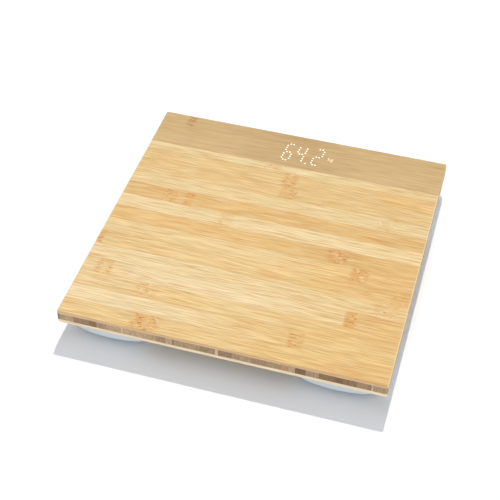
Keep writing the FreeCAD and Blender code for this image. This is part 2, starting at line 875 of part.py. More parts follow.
def electronics_housing():
    """The moulded tray: battery compartment, door slide, posts, bosses and button hole."""
    body = housing_body("electronics_housing")
    half_width, half_depth = s.housing_width / 2, s.housing_depth / 2
    shell = Outline(body, "shell", FLOOR_OUTSIDE)
    shell.rounded(-half_width, -half_depth, half_width, half_depth, s.housing_corner)
    pad(shell, "shell_pad", s.housing_height)
    lowest = level_edges(body, FLOOR_OUTSIDE)
    blend(body, "lower_edge", lowest, s.housing_edge, "Chamfer")

    wall = s.housing_wall
    inside = Outline(body, "inside")
    inside.rounded(
        -half_width + wall, -half_depth + wall, half_width - wall, half_depth - wall,
        s.housing_corner - wall,
    )
    pocket(inside, "inside_cut", s.housing_height - s.housing_floor)

    half_box = COMPARTMENT_LENGTH / 2 + s.compartment_wall
    box_front = COMPARTMENT_FRONT - s.compartment_wall
    box_back = COMPARTMENT_BACK + s.compartment_wall
    box = Outline(body, "battery_box", FLOOR_INSIDE)
    box.rectangle(-half_box, box_front, half_box, box_back)
    pad(box, "battery_box_pad", ROOF_INSIDE + s.compartment_roof - FLOOR_INSIDE)
    half = COMPARTMENT_LENGTH / 2
    space = Outline(body, "battery_space", ROOF_INSIDE)
    space.rectangle(-half, COMPARTMENT_FRONT, half, COMPARTMENT_BACK)
    pocket(space, "battery_space_cut", ROOF_INSIDE - FLOOR_OUTSIDE)

    fit = s.door_fit
    narrow = DOOR_HALF - s.door_tongue + fit
    mouth = Outline(body, "door_mouth", FLOOR_OUTSIDE)
    mouth.rectangle(-narrow, -s.housing_depth, narrow, DOOR_BACK + fit)
    pocket(mouth, "door_mouth_cut", s.door_plate, up=True)
    track = Outline(body, "door_track", TONGUE_LEVEL - s.door_slip)
    track.rectangle(-DOOR_HALF - fit, -s.housing_depth, DOOR_HALF + fit, DOOR_BACK + fit)
    pocket(track, "door_track_cut", s.door_tongue_thickness + s.door_slip * 2, up=True)

    posts = Outline(body, "posts", FLOOR_INSIDE)
    for across, back in corners_of(POST_RIGHT, -POST_BACK, POST_BACK):
        posts.circle(across, back, s.post_diameter)
    pad(posts, "posts_pad", -FLOOR_INSIDE)
    bores = Outline(body, "post_bores")
    sinks = Outline(body, "post_sinks", FLOOR_OUTSIDE)
    for across, back in corners_of(POST_RIGHT, -POST_BACK, POST_BACK):
        bores.circle(across, back, s.screw_shank + s.screw_gap * 2)
        sinks.circle(across, back, s.screw_head + s.screw_gap * 2)
    pocket(bores, "post_bores_cut")
    pocket(sinks, "post_sinks_cut", s.screw_head_height + s.screw_gap, up=True)

    bosses = Outline(body, "board_bosses", FLOOR_INSIDE)
    taps = Outline(body, "board_taps", MAIN_BOARD_UNDERSIDE)
    for across, back in board_screw_spots():
        bosses.circle(across, back, s.board_boss_diameter)
        taps.circle(across, back, s.board_screw_shank)
    pad(bosses, "board_bosses_pad", MAIN_BOARD_UNDERSIDE - FLOOR_INSIDE)
    pocket(taps, "board_taps_cut", s.board_screw_bite)

    hole = Outline(body, "button_hole", FLOOR_INSIDE)
    hole.circle(-s.button_left, BUTTON_BACK, s.button_diameter + s.button_fit * 2)
    pocket(hole, "button_hole_cut")
    return body


def board_screw_spots():
    """Gives the main board's four screws, each a boss's inset from two of its edges."""
    side = s.main_board_side - s.board_boss_inset
    front = MAIN_BOARD_FRONT + s.board_boss_inset
    return corners_of(side, front, MAIN_BOARD_BACK - s.board_boss_inset)


def main_board():
    """The main board, drilled for its screws."""
    body = housing_body("main_board")
    board = Outline(body, "board", MAIN_BOARD_UNDERSIDE)
    board.rectangle(-s.main_board_side, MAIN_BOARD_FRONT, s.main_board_side, MAIN_BOARD_BACK)
    pad(board, "board_pad", s.main_board_thickness)
    holes = Outline(body, "holes", MAIN_BOARD_TOP)
    for across, back in board_screw_spots():
        holes.circle(across, back, s.board_screw_shank)
    pocket(holes, "holes_cut")
    return body


def controller_chip():
    """The measuring chip on top of the main board."""
    body = housing_body("controller_chip")
    middle = MAIN_BOARD_FRONT + s.main_board_depth / 2 - s.controller_forward
    chip = Outline(body, "chip", MAIN_BOARD_TOP)
    chip.middle_rectangle(0, middle, s.controller_size, s.controller_size)
    pad(chip, "chip_pad", s.controller_height)
    return body


def unit_switch():
    """The push switch on the underside of the main board."""
    body = housing_body("unit_switch")
    case = Outline(body, "case", MAIN_BOARD_UNDERSIDE)
    case.middle_rectangle(-s.button_left, BUTTON_BACK, s.switch_size, s.switch_size)
    pad(case, "case_pad", s.switch_height, down=True)
    plunger = Outline(body, "plunger", MAIN_BOARD_UNDERSIDE - s.switch_height)
    plunger.circle(-s.button_left, BUTTON_BACK, s.plunger_diameter)
    flange_top = FLOOR_INSIDE + s.plunger_gap + s.button_flange_thickness
    tip = flange_top + s.button_travel + s.plunger_gap
    pad(plunger, "plunger_pad", MAIN_BOARD_UNDERSIDE - s.switch_height - tip, down=True)
    return body


def unit_button():
    """The button that changes the unit, held in the floor by its flange."""
    body = housing_body("unit_button")
    body_level = FLOOR_INSIDE + s.plunger_gap
    flange = Outline(body, "flange", body_level)
    width = s.button_diameter + s.button_fit * 2 + s.button_flange * 2
    flange.circle(-s.button_left, BUTTON_BACK, width)
    pad(flange, "flange_pad", s.button_flange_thickness)
    stem = Outline(body, "stem", body_level)
    stem.circle(-s.button_left, BUTTON_BACK, s.button_diameter)
    pad(stem, "stem_pad", s.housing_floor + s.plunger_gap + s.button_proud, down=True)
    rim = level_edges(body, FLOOR_OUTSIDE - s.button_proud)
    blend(body, "rim", rim, s.button_edge, "Chamfer")
    return body


def battery_door():
    """The door that slides out of the housing's front face on its two tongues."""
    body = housing_body("battery_door")
    front, back = -s.housing_depth / 2, DOOR_BACK
    narrow = DOOR_HALF - s.door_tongue
    plate = Outline(body, "plate", FLOOR_OUTSIDE)
    plate.rectangle(-narrow, front, narrow, back)
    pad(plate, "plate_pad", s.door_plate + s.door_tongue_thickness)
    tongues = Outline(body, "tongues", TONGUE_LEVEL)
    tongues.rectangle(-DOOR_HALF, front + s.housing_wall, DOOR_HALF, back)
    pad(tongues, "tongues_pad", s.door_tongue_thickness)
    bars = Outline(body, "grip", FLOOR_OUTSIDE)
    for number in range(1, s.grip_bars.value + 1):
        middle = front + s.housing_edge + s.grip_pitch * number
        bars.middle_rectangle(0, middle, s.grip_width, s.grip_bar)
    pad(bars, "grip_pad", s.grip_height, down=True)
    return body


def battery_place(number):
    """Gives a cell's place: its depth in the housing and the way it faces."""
    step = COMPARTMENT_FRONT + s.battery_gap + s.battery_diameter / 2
    depth = HOUSING_BACK + step + BATTERY_PITCH * number
    return depth, 180 if number % 2 else 0


def battery(number, label):
    """A size AAA cell, turned about its long axis, with its positive end along +X."""
    depth, turn = battery_place(number)
    body = new_body(label, 0, depth, s.stand_height + BATTERY_AXIS, turn)
    radius, nub = s.battery_diameter / 2, s.battery_nub_diameter / 2
    start = s.spring_space - COMPARTMENT_LENGTH / 2
    shoulder = start + s.battery_length - s.battery_nub
    axis = 0
    profile = Outline(body, "profile", plane="XZ_Plane")
    profile.polygon([
        (start, axis), (start, radius), (shoulder, radius), (shoulder, nub),
        (shoulder + s.battery_nub, nub), (shoulder + s.battery_nub, axis),
    ])
    sketch = profile.done()
    turned = body.newObject("PartDesign::Revolution", f"{body.Name}_turned")
    turned.Profile = sketch
    turned.ReferenceAxis = (origin_feature(body, "X_Axis"), [""])
    turned.Angle = 360
    doc.recompute()
    return body


def contact_profile(number, points, name):
    """Bends one contact strip from its profile, standing at the middle of a cell."""
    depth, turn = battery_place(number)
    label = f"{name}_{number + 1}"
    body = new_body(label, 0, depth, s.stand_height + BATTERY_AXIS, turn)
    profile = Outline(body, "profile", -s.contact_width / 2, plane="XZ_Plane")
    profile.polygon(points)
    pad(profile, "strip", s.contact_width)
    return body


def contact_group(label, bodies):
    """Joins like contacts in one node, each still a solid of its own."""
    group = doc.addObject("Part::Compound", label)
    group.Links = bodies
    doc.recompute()
    return group


def spring_contacts():
    """Bent leaf springs that press on the cells' flat ends."""
    wall = -COMPARTMENT_LENGTH / 2
    sheet, tip = s.contact_thickness, wall + s.spring_space
    top, low = s.contact_height / 2, -s.contact_height / 2
    nose = s.contact_thickness * 2
    points = [
        (wall, low), (wall + sheet, low), (wall + sheet, top - sheet),
        (tip - sheet, nose), (tip - sheet, -nose), (wall + sheet * 3, low),
        (wall + sheet * 4, low), (tip, -nose), (tip, nose), (wall + sheet, top),
        (wall, top),
    ]
    bodies = [contact_profile(number, points, "spring") for number in range(CELL_COUNT)]
    return contact_group("spring_contacts", bodies)


def plate_contacts():
    """Flat plates with a pressed dimple that touches the cells' nubs."""
    wall = COMPARTMENT_LENGTH / 2
    sheet, tip = s.contact_thickness, wall - s.plate_space
    top, low = s.contact_height / 2, -s.contact_height / 2
    nose = s.battery_nub_diameter / 3
    points = [
        (wall, low), (wall, top), (wall - sheet, top), (wall - sheet, nose * 2),
        (tip, nose), (tip, -nose), (wall - sheet, nose * -2), (wall - sheet, low),
    ]
    bodies = [contact_profile(number, points, "plate") for number in range(CELL_COUNT)]
    return contact_group("plate_contacts", bodies)


def housing_screws():
    """The four screws that hold the housing to the platform."""
    spots = corners_of(POST_RIGHT, -POST_BACK, POST_BACK)
    level = FLOOR_OUTSIDE + s.screw_head_height + s.screw_gap
    return screws(
        "housing_screws", spots, level, s.screw_head, s.screw_head_height,
        s.screw_shank, s.screw_bite - level, place_at=(0, HOUSING_BACK, s.stand_height),
    )


def board_screws():
    """The four small screws through the main board."""
    body = housing_body("board_screws")
    heads = Outline(body, "heads", MAIN_BOARD_TOP)
    shanks = Outline(body, "shanks", MAIN_BOARD_TOP)
    for across, back in board_screw_spots():
        heads.circle(across, back, s.board_screw_head)
        shanks.circle(across, back, s.board_screw_shank)
    pad(heads, "head", s.board_screw_head_height)
    pad(shanks, "shank", s.main_board_thickness + s.board_screw_bite, down=True)
    return body


# ---------------------------------------------------------------- feet


def foot_body(corner, name):
    """A body whose frame is the foot's: the underside of the platform, over its middle."""
    right, back, turn = CORNERS[corner]
    label = f"{corner}_{name}"
    return new_body(label, FOOT_OFFSET * right, FOOT_BACK * back, s.stand_height, turn)


def foot_screw_spots():
    """Gives a foot's two screws, in opposite corners of its housing."""
    offset = s.foot_screw_offset
    return [(-offset, -offset), (offset, offset)]


def foot_housing(corner):
    """The fixed half of a foot: flange, skirt, load-cell pocket, ribs and screw bosses."""
    body = foot_body(corner, "foot_housing")
    flange = Outline(body, "flange", FLANGE_UNDERSIDE)
    pad(flange.pillow(-s.flange_overhang), "flange_pad", s.flange_thickness)
    skirt = Outline(body, "skirt", FLANGE_UNDERSIDE)
    pad(skirt.pillow(SKIRT_INSET), "skirt_pad", s.skirt_depth, down=True)
    hollow = Outline(body, "hollow", FLANGE_UNDERSIDE - s.skirt_depth)
    pocket(hollow.pillow(SKIRT_INSIDE), "hollow_cut", s.skirt_depth, up=True)

    outside = s.cell_size + (s.cell_fit + s.cell_wall) * 2
    walls = Outline(body, "cell_walls", FLANGE_UNDERSIDE)
    walls.middle_rectangle(0, 0, outside, outside)
    pad(walls, "cell_walls_pad", s.cell_seat + s.cell_wall_overlap, down=True)
    seat = Outline(body, "cell_bed", FLANGE_UNDERSIDE - s.cell_seat - s.cell_wall_overlap)
    bed = s.cell_size + s.cell_fit * 2
    seat.middle_rectangle(0, 0, bed, bed)
    pocket(seat, "cell_bed_cut", s.cell_wall_overlap, up=True)
    well = Outline(body, "cell_well", CELL_TOP)
    free = s.cell_size - s.cell_seat_width * 2
    well.middle_rectangle(0, 0, free, free)
    pocket(well, "cell_well_cut", s.cell_seat, up=True)

    half = s.pod_width / 2 - SKIRT_INSET - s.skirt_wall / 2
    ribs = Outline(body, "ribs", FLANGE_UNDERSIDE)
    for side in (-1, 1):
        low = s.rib_offset * side - s.rib_thickness / 2
        ribs.rectangle(outside / 2 - s.cell_wall / 2, low, half, low + s.rib_thickness)
    rib = pad(ribs, "rib", s.cell_seat + s.cell_wall_overlap, down=True)
    polar(body, "rib_ring", [rib], 4)

    bosses = Outline(body, "bosses", FLANGE_UNDERSIDE)
    bores = Outline(body, "bores")
    for across, back in foot_screw_spots():
        bosses.circle(across, back, s.foot_boss)
        bores.circle(across, back, s.screw_shank + s.screw_gap * 2)
    pad(bosses, "boss", s.foot_boss_height, down=True)
    pocket(bores, "bore")

    windows = Outline(body, "hook_window", FLANGE_UNDERSIDE)
    skirt_half = s.pod_width / 2 - SKIRT_INSET
    span = s.hook_width / 2 + s.hook_fit
    inside = skirt_half - s.skirt_wall - s.skirt_fit
    windows.rectangle(inside, -span, skirt_half + s.skirt_fit, span)
    depth = s.hook_clear + s.hook_barb_height + s.hook_drop
    window = pocket(windows, "hook_window_cut", depth)
    polar(body, "hook_windows", [window], 4)

    slot = Outline(body, "lead_slot")
    width = s.lead_width + s.lead_gap * 2
    slot.middle_rectangle(-LEAD_DROP, 0, s.lead_slot, width)
    pocket(slot, "lead_slot_cut", s.flange_thickness + s.cell_seat)
    return body


def load_cell(corner):
    """The stamped steel cell: a frame that the housing bears on, and a free tongue."""
    body = foot_body(corner, "load_cell")
    half = s.cell_size / 2
    plate = Outline(body, "plate", CELL_UNDERSIDE)
    plate.rounded(-half, -half, half, half, s.cell_corner)
    pad(plate, "plate_pad", s.cell_thickness)
    left, right = s.cell_frame - half, half - s.cell_root
    side, slot = half - s.cell_frame, s.cell_slot
    cut = Outline(body, "tongue_slot", CELL_TOP)
    cut.polygon([
        (left, -side), (right, -side), (right, slot - side), (left + slot, slot - side),
        (left + slot, side - slot), (right, side - slot), (right, side), (left, side),
    ])
    pocket(cut, "tongue_slot_cut")
    holes = Outline(body, "holes", CELL_TOP)
    holes.circle(half - s.cell_root / 2, half - s.cell_root / 2, s.cell_hole)
    holes.circle(half - s.cell_root / 2, s.cell_root / 2 - half, s.cell_hole)
    pocket(holes, "holes_cut")
    return body


def strain_gauge(corner):
    """The gauge under its bead of white silicone, on the root of the tongue."""
    body = foot_body(corner, "strain_gauge")
    right = s.cell_size / 2 - s.cell_root - s.gauge_length / 2
    bead = Outline(body, "bead", CELL_TOP)
    bead.middle_rectangle(right, 0, s.gauge_length, s.gauge_width)
    pad(bead, "bead_pad", s.gauge_height)
    rim = level_edges(body, CELL_TOP + s.gauge_height)
    blend(body, "rim", rim, s.gauge_height / 2, "Chamfer")
    return body


def foot_cap(corner):
    """The moving half of a foot: a rounded shell that presses up on the cell's tongue."""
    body = foot_body(corner, "foot_cap")
    shell = Outline(body, "shell", CAP_UNDERSIDE)
    pad(shell.pillow(0), "shell_pad", s.cap_height)
    blend(body, "lower_edge", level_edges(body, CAP_UNDERSIDE), s.cap_edge, "Chamfer")
    hollow = Outline(body, "hollow", CAP_TOP)
    pocket(hollow.pillow(s.cap_wall), "hollow_cut", s.cap_height - s.cap_floor)
    recess = Outline(body, "recess", CAP_UNDERSIDE)
    pocket(recess.pillow(s.pad_inset - s.pad_fit), "recess_cut", s.pad_recess, up=True)

    tip_top = CELL_UNDERSIDE - s.foot_travel - s.thrust_gap
    boss = Outline(body, "boss", CAP_INSIDE)
    boss.circle(0, 0, s.thrust_boss)
    pad(boss, "boss_pad", tip_top - s.thrust_tip_height - CAP_INSIDE)
    tip = Outline(body, "tip", CAP_INSIDE)
    tip.circle(0, 0, s.thrust_tip)
    pad(tip, "tip_pad", tip_top - CAP_INSIDE)
    blend(body, "tip_edge", level_edges(body, tip_top), s.thrust_tip_height / 2, "Chamfer")

    ribs = Outline(body, "rib", CAP_INSIDE)
    low = -s.rib_thickness / 2
    ribs.rectangle(s.thrust_tip / 2, low, HOOK_OUTSIDE, -low)
    rib = pad(ribs, "rib_pad", s.cap_rib_height)

    arm_top = FLANGE_UNDERSIDE - s.hook_clear
    arm_profile = Outline(body, "hook", -s.hook_width / 2, plane="XZ_Plane")
    root, out = HOOK_OUTSIDE - s.hook_thickness, HOOK_OUTSIDE + s.hook_barb
    arm_profile.polygon([
        (root, CAP_INSIDE), (HOOK_OUTSIDE, CAP_INSIDE),
        (HOOK_OUTSIDE, arm_top - s.hook_barb_height), (out, arm_top - s.hook_barb_height),
        (HOOK_OUTSIDE, arm_top), (root, arm_top),
    ])
    hook = pad(arm_profile, "hook_pad", s.hook_width)
    polar(body, "ribs_and_hooks", [rib, hook], 4)
    return body


def foot_pad(corner):
    """The rubber pad, seated in the cap's recess, with a dimple underneath."""
    body = foot_body(corner, "foot_pad")
    floor = -s.stand_height
    block = Outline(body, "block", floor)
    pad(block.pillow(s.pad_inset), "block_pad", PAD_TOP - floor)
    blend(body, "edge", level_edges(body, floor), s.pad_edge, "Chamfer")
    dimple = Outline(body, "dimple", floor)
    dimple.circle(0, 0, s.pad_dimple)
    pocket(dimple, "dimple_cut", s.pad_dimple_depth, up=True)
    return body


def foot_screws(corner):
    """The two screws that hold a foot's housing to the platform."""
    right, back, turn = CORNERS[corner]
    level = FLANGE_UNDERSIDE - s.foot_boss_height
    return screws(
        f"{corner}_foot_screws", foot_screw_spots(), level, s.screw_head,
        s.screw_head_height, s.screw_shank, s.screw_bite - level, turn=turn,
        place_at=(FOOT_OFFSET * right, FOOT_BACK * back, s.stand_height),
    )


def sensor_lead(corner):
    """The flat lead that runs up from the cell, along its groove and down to the board."""
    points = lead_corners(corner)
    down = Vector(0, 0, -1)
    cell_drop = float(LEAD_LEVEL - s.stand_height - CELL_TOP)
    board_drop = float(LEAD_LEVEL - s.stand_height - MAIN_BOARD_TOP)
    first, last = points[0] + down * cell_drop, points[-1] + down * board_drop
    bend = float(s.lead_bend)
    rise = rounded_path([first, points[0], points[1]], bend)[:-1]
    level = rounded_path(points, float(s.lead_sweep))
    fall = rounded_path([points[-2], points[-1], last], bend)[1:]
    level[0] = straight(rise[-1].lastVertex().Point, level[0].lastVertex().Point)
    level[-1] = straight(level[-1].firstVertex().Point, fall[0].firstVertex().Point)
    spine = Part.Wire(rise + level + fall)
    along = (points[1] - points[0]).normalize()
    sideways = along.cross(down)
    half, deep = float(s.lead_width) / 2, float(s.lead_thickness) / 2
    ring = [
        first + sideways * half * side + along * deep * end
        for side, end in ((-1, -1), (1, -1), (1, 1), (-1, 1))
    ]
    section = Part.makePolygon(ring + ring[:1])
    feature = doc.addObject("Part::Feature", f"{corner}_sensor_lead")
    feature.Shape = spine.makePipeShell([section], True, False)
    wanted = spine.Length * float(s.lead_width) * float(s.lead_thickness)
    if abs(feature.Shape.Volume / wanted - 1) > LEAD_SLACK:
        raise ValueError(f"{feature.Label} is not its section times its length")
    return feature


def build():
    """Makes every sub-part and gives them in order."""
    parts = [top_ply(), display_veneer(), core_ply(), bottom_ply()]
    parts += [light_mask(), diffuser_sheet(), led_board(), led_chips(), board_header()]
    parts += [electronics_housing(), main_board(), controller_chip(), unit_switch()]
    parts += [unit_button(), battery_door()]
    cells = ("battery_front", "battery_middle", "battery_rear")
    parts += [battery(number, label) for number, label in enumerate(cells)]
    parts += [spring_contacts(), plate_contacts(), housing_screws(), board_screws()]
    for corner in CORNERS:
        parts += [foot_housing(corner), load_cell(corner), strain_gauge(corner)]
        parts += [foot_cap(corner), foot_pad(corner), foot_screws(corner)]
        parts.append(sensor_lead(corner))
    return parts


def check_and_export(parts):
    """Refuses a failed document, then writes each sub-part to its own STEP file."""
    doc.recompute()
    failed = [
        obj.Name for obj in doc.Objects if {"Invalid", "Error"} & set(obj.State)
    ]
    if failed:
        raise ValueError(f"failed objects: {failed}")
    for part in parts:
        if part.Shape.isNull() or not part.Shape.isValid():
            raise ValueError(f"{part.Label} has no valid shape")
    os.makedirs("parts", exist_ok=True)
    for part in parts:
        part.Shape.exportStep(f"parts/{part.Label}.step")


check_and_export(build())
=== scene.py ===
"""Looks of a digital bathroom scale: a laminated bamboo platform on four load cell feet.

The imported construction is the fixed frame. Every node of it gets its finish here, the
lit display is added on the veneer, and a plain pale studio is set around it. Sizes in
the classes are millimetres; Blender's own are metres.
"""

from __future__ import annotations

import json
import logging
import math
from abc import ABC, abstractmethod
from dataclasses import dataclass, field
from enum import Enum
from itertools import accumulate
from typing import Any, Iterable, Mapping, Sequence

import bmesh
import bpy
from mathutils import Matrix, Vector

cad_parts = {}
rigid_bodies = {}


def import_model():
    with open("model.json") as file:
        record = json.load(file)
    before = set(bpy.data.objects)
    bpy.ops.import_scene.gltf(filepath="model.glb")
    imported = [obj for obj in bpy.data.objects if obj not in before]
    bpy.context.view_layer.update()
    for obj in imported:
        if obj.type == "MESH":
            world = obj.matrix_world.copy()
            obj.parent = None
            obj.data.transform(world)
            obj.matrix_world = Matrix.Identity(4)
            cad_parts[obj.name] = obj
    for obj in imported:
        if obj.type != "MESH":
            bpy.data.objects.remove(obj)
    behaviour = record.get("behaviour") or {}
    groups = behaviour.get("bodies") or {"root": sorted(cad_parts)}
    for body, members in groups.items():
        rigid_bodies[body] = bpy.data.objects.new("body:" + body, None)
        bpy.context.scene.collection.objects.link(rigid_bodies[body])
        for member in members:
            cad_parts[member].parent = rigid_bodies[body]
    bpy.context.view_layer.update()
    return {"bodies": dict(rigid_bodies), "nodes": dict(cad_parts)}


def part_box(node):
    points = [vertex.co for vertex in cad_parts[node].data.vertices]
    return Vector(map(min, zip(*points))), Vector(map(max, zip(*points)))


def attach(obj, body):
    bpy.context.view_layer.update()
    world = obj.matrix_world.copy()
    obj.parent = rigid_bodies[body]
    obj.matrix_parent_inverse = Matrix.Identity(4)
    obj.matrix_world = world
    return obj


LOG = logging.getLogger("bathroom_scale")
MM = 0.001

# What parts the noise of one stave from the next.
STAVE_SEED = 7.3
# How much closer the fibres lie where a narrow side shows them.
SIDE_CLOSENESS = 1.6
# Sides and rings of one lit dot.
DOT_SIDES = 14
DOT_RINGS = 6

Colour = tuple[float, float, float, float]


def paint(code: str) -> Colour:
    """Turns a screen colour such as #F4DBAC into Blender's linear colour.

    Args:
        code: The colour as six hexadecimal digits after a hash.

    Returns:
        Linear red, green, blue and an alpha of one.
    """
    parts = [int(code[i : i + 2], 16) / 255 for i in (1, 3, 5)]
    red, green, blue = (
        part / 12.92 if part <= 0.04045 else ((part + 0.055) / 1.055) ** 2.4
        for part in parts
    )
    return red, green, blue, 1.0


# --- Shader building ------------------------------------------------------------------


class Wire:
    """An output socket; sums on it add Math nodes to the graph that it belongs to."""

    def __init__(self, graph: "Graph", socket: bpy.types.NodeSocket) -> None:
        """Keeps the graph and the socket."""
        self.graph = graph
        self.socket = socket

    def __add__(self, other: "Wire | float") -> "Wire":
        """Adds."""
        return self.graph.maths("ADD", self, other)

    def __radd__(self, other: float) -> "Wire":
        """Adds, from the right."""
        return self.graph.maths("ADD", other, self)

    def __sub__(self, other: "Wire | float") -> "Wire":
        """Subtracts."""
        return self.graph.maths("SUBTRACT", self, other)

    def __rsub__(self, other: float) -> "Wire":
        """Subtracts from a number."""
        return self.graph.maths("SUBTRACT", other, self)

    def __mul__(self, other: "Wire | float") -> "Wire":
        """Multiplies."""
        return self.graph.maths("MULTIPLY", self, other)

    def __rmul__(self, other: float) -> "Wire":
        """Multiplies, from the right."""
        return self.graph.maths("MULTIPLY", other, self)

    def __truediv__(self, other: "Wire | float") -> "Wire":
        """Divides."""
        return self.graph.maths("DIVIDE", self, other)

    def __rtruediv__(self, other: float) -> "Wire":
        """Divides a number."""
        return self.graph.maths("DIVIDE", other, self)

    def __abs__(self) -> "Wire":
        """Gives the size without its sign."""
        return self.graph.maths("ABSOLUTE", self)

    def __gt__(self, other: "Wire | float") -> "Wire":
        """Gives one where this is the greater, and otherwise zero."""
        return self.graph.maths("GREATER_THAN", self, other)

    def floor(self) -> "Wire":
        """Rounds down."""
        return self.graph.maths("FLOOR", self)

    def fraction(self) -> "Wire":
        """Gives what is left after rounding down."""
        return self.graph.maths("FRACT", self)

    def least(self, other: "Wire | float") -> "Wire":
        """Gives the smaller of two."""
        return self.graph.maths("MINIMUM", self, other)

    def most(self, other: "Wire | float") -> "Wire":
        """Gives the greater of two."""
        return self.graph.maths("MAXIMUM", self, other)

    def clamp(self) -> "Wire":
        """Keeps the value between zero and one."""
        return self.graph.maths("ADD", self, 0.0, clamp=True)

    def step(self, start: float, end: float) -> "Wire":
        """Rises smoothly from zero at start to one at end.

        Args:
            start: The value that gives zero.
            end: The value that gives one.

        Returns:
            The smooth step.
        """
        settings = {"interpolation_type": "SMOOTHSTEP"}
        sockets = {"Value": self, "From Min": start, "From Max": end}
        return self.graph.wire("MapRange", settings, sockets)


class Graph:
    """A node tree under construction."""

    def __init__(self, tree: bpy.types.NodeTree) -> None:
        """Keeps the tree."""
        self.tree = tree

    def add(
        self,
        kind: str,
        settings: Mapping[str, Any] | None = None,
        sockets: Mapping[str | int, Any] | None = None,
    ) -> bpy.types.Node:
        """Adds a shader node.

        Args:
            kind: The node's type without its ShaderNode prefix.
            settings: The node's own properties; stops are a ramp's places and colours.
            sockets: Values or wires for the input sockets, by name or number.

        Returns:
            The node.
        """
        node = self.tree.nodes.new("ShaderNode" + kind)
        for name, value in (settings or {}).items():
            if name == "stops":
                self._set_stops(node.color_ramp, value)
            else:
                setattr(node, name, value)
        for key, value in (sockets or {}).items():
            self.feed(node.inputs[key], value)
        return node

    def wire(
        self,
        kind: str,
        settings: Mapping[str, Any] | None = None,
        sockets: Mapping[str | int, Any] | None = None,
        out: str | int = 0,
    ) -> Wire:
        """Adds a node as add does and gives one of its outputs."""
        return Wire(self, self.add(kind, settings, sockets).outputs[out])

    def feed(self, socket: bpy.types.NodeSocket, value: Any) -> None:
        """Links a wire to an input socket, or sets the socket's own value.

        Args:
            socket: The input socket.
            value: The wire that is linked, or the value that is set.
        """
        if isinstance(value, Wire):
            self.tree.links.new(value.socket, socket)
        else:
            socket.default_value = value

    def maths(
        self, operation: str, first: Any, second: Any = None, clamp: bool = False
    ) -> Wire:
        """Adds a Math node on one or two values.

        Args:
            operation: The Math node's operation.
            first: The first value.
            second: The second value, where there is one.
            clamp: Whether the result is kept between zero and one.

        Returns:
            The result.
        """
        sockets = {0: first} if second is None else {0: first, 1: second}
        settings = {"operation": operation, "use_clamp": clamp}
        return self.wire("Math", settings, sockets)

    def vector(self, x: Any, y: Any, z: Any = 0.0) -> Wire:
        """Joins three values into a vector."""
        return self.wire("CombineXYZ", None, {0: x, 1: y, 2: z})

    def split(self, vector: Wire) -> tuple[Wire, Wire, Wire]:
        """Parts a vector into its three values."""
        node = self.add("SeparateXYZ", None, {0: vector})
        return tuple(Wire(self, socket) for socket in node.outputs)

    def scaled(self, vector: Wire | Colour, factor: Wire | float) -> Wire:
        """Multiplies a vector or a colour by one value.

        Args:
            vector: The vector or the colour.
            factor: The value that multiplies it.

        Returns:
            The product.
        """
        first = vector if isinstance(vector, Wire) else vector[:3]
        sockets = {"Vector": first, "Scale": factor}
        return self.wire("VectorMath", {"operation": "SCALE"}, sockets)

    def mix(self, factor: Any, first: Any, second: Any) -> Wire:
        """Mixes two colours by a factor from zero to one."""
        sockets = {0: factor, 6: first, 7: second}
        return self.wire("Mix", {"data_type": "RGBA"}, sockets, out=2)

    def noise(self, vector: Wire, detail: float = 2.0, rough: float = 0.5) -> Wire:
        """Adds smooth noise about zero, with one lump to each unit of the vector."""
        sockets = {"Vector": vector, "Scale": 1.0, "Detail": detail, "Roughness": rough}
        return self.wire("TexNoise", None, sockets) - 0.5

    def lumps(
        self, x: Wire, y: Wire, size: tuple[float, float], seed: Any, detail: float = 2.0
    ) -> Wire:
        """Adds noise whose lumps have a size in mm along each of two directions."""
        return self.noise(self.vector(x / size[0], y / size[1], seed), detail)

    def ramp(self, factor: Wire, stops: Sequence[tuple[float, Colour]]) -> Wire:
        """Looks a colour up along a row of stops, each of which holds until the next."""
        return self.wire("ValToRGB", {"stops": stops}, {0: factor})

    def lookup(self, index: Wire, rows: Sequence[Colour]) -> Wire:
        """Gives the row of a short table that a whole number counts to."""
        stops = [(number / len(rows), row) for number, row in enumerate(rows)]
        return self.ramp((index + 0.5) / len(rows), stops)

    @staticmethod
    def _set_stops(ramp: bpy.types.ColorRamp, stops: Iterable[tuple[float, Colour]]) -> None:
        """Gives a ramp exactly these stops, with hard steps between them.

        Args:
            ramp: The ramp.
            stops: Places from zero to one, each with its colour.
        """
        ramp.interpolation = "CONSTANT"
        while len(ramp.elements) > 1:
            ramp.elements.remove(ramp.elements[-1])
        for number, (place, colour) in enumerate(stops):
            stop = ramp.elements[0] if number == 0 else ramp.elements.new(place)
            stop.position = place
            stop.color = colour


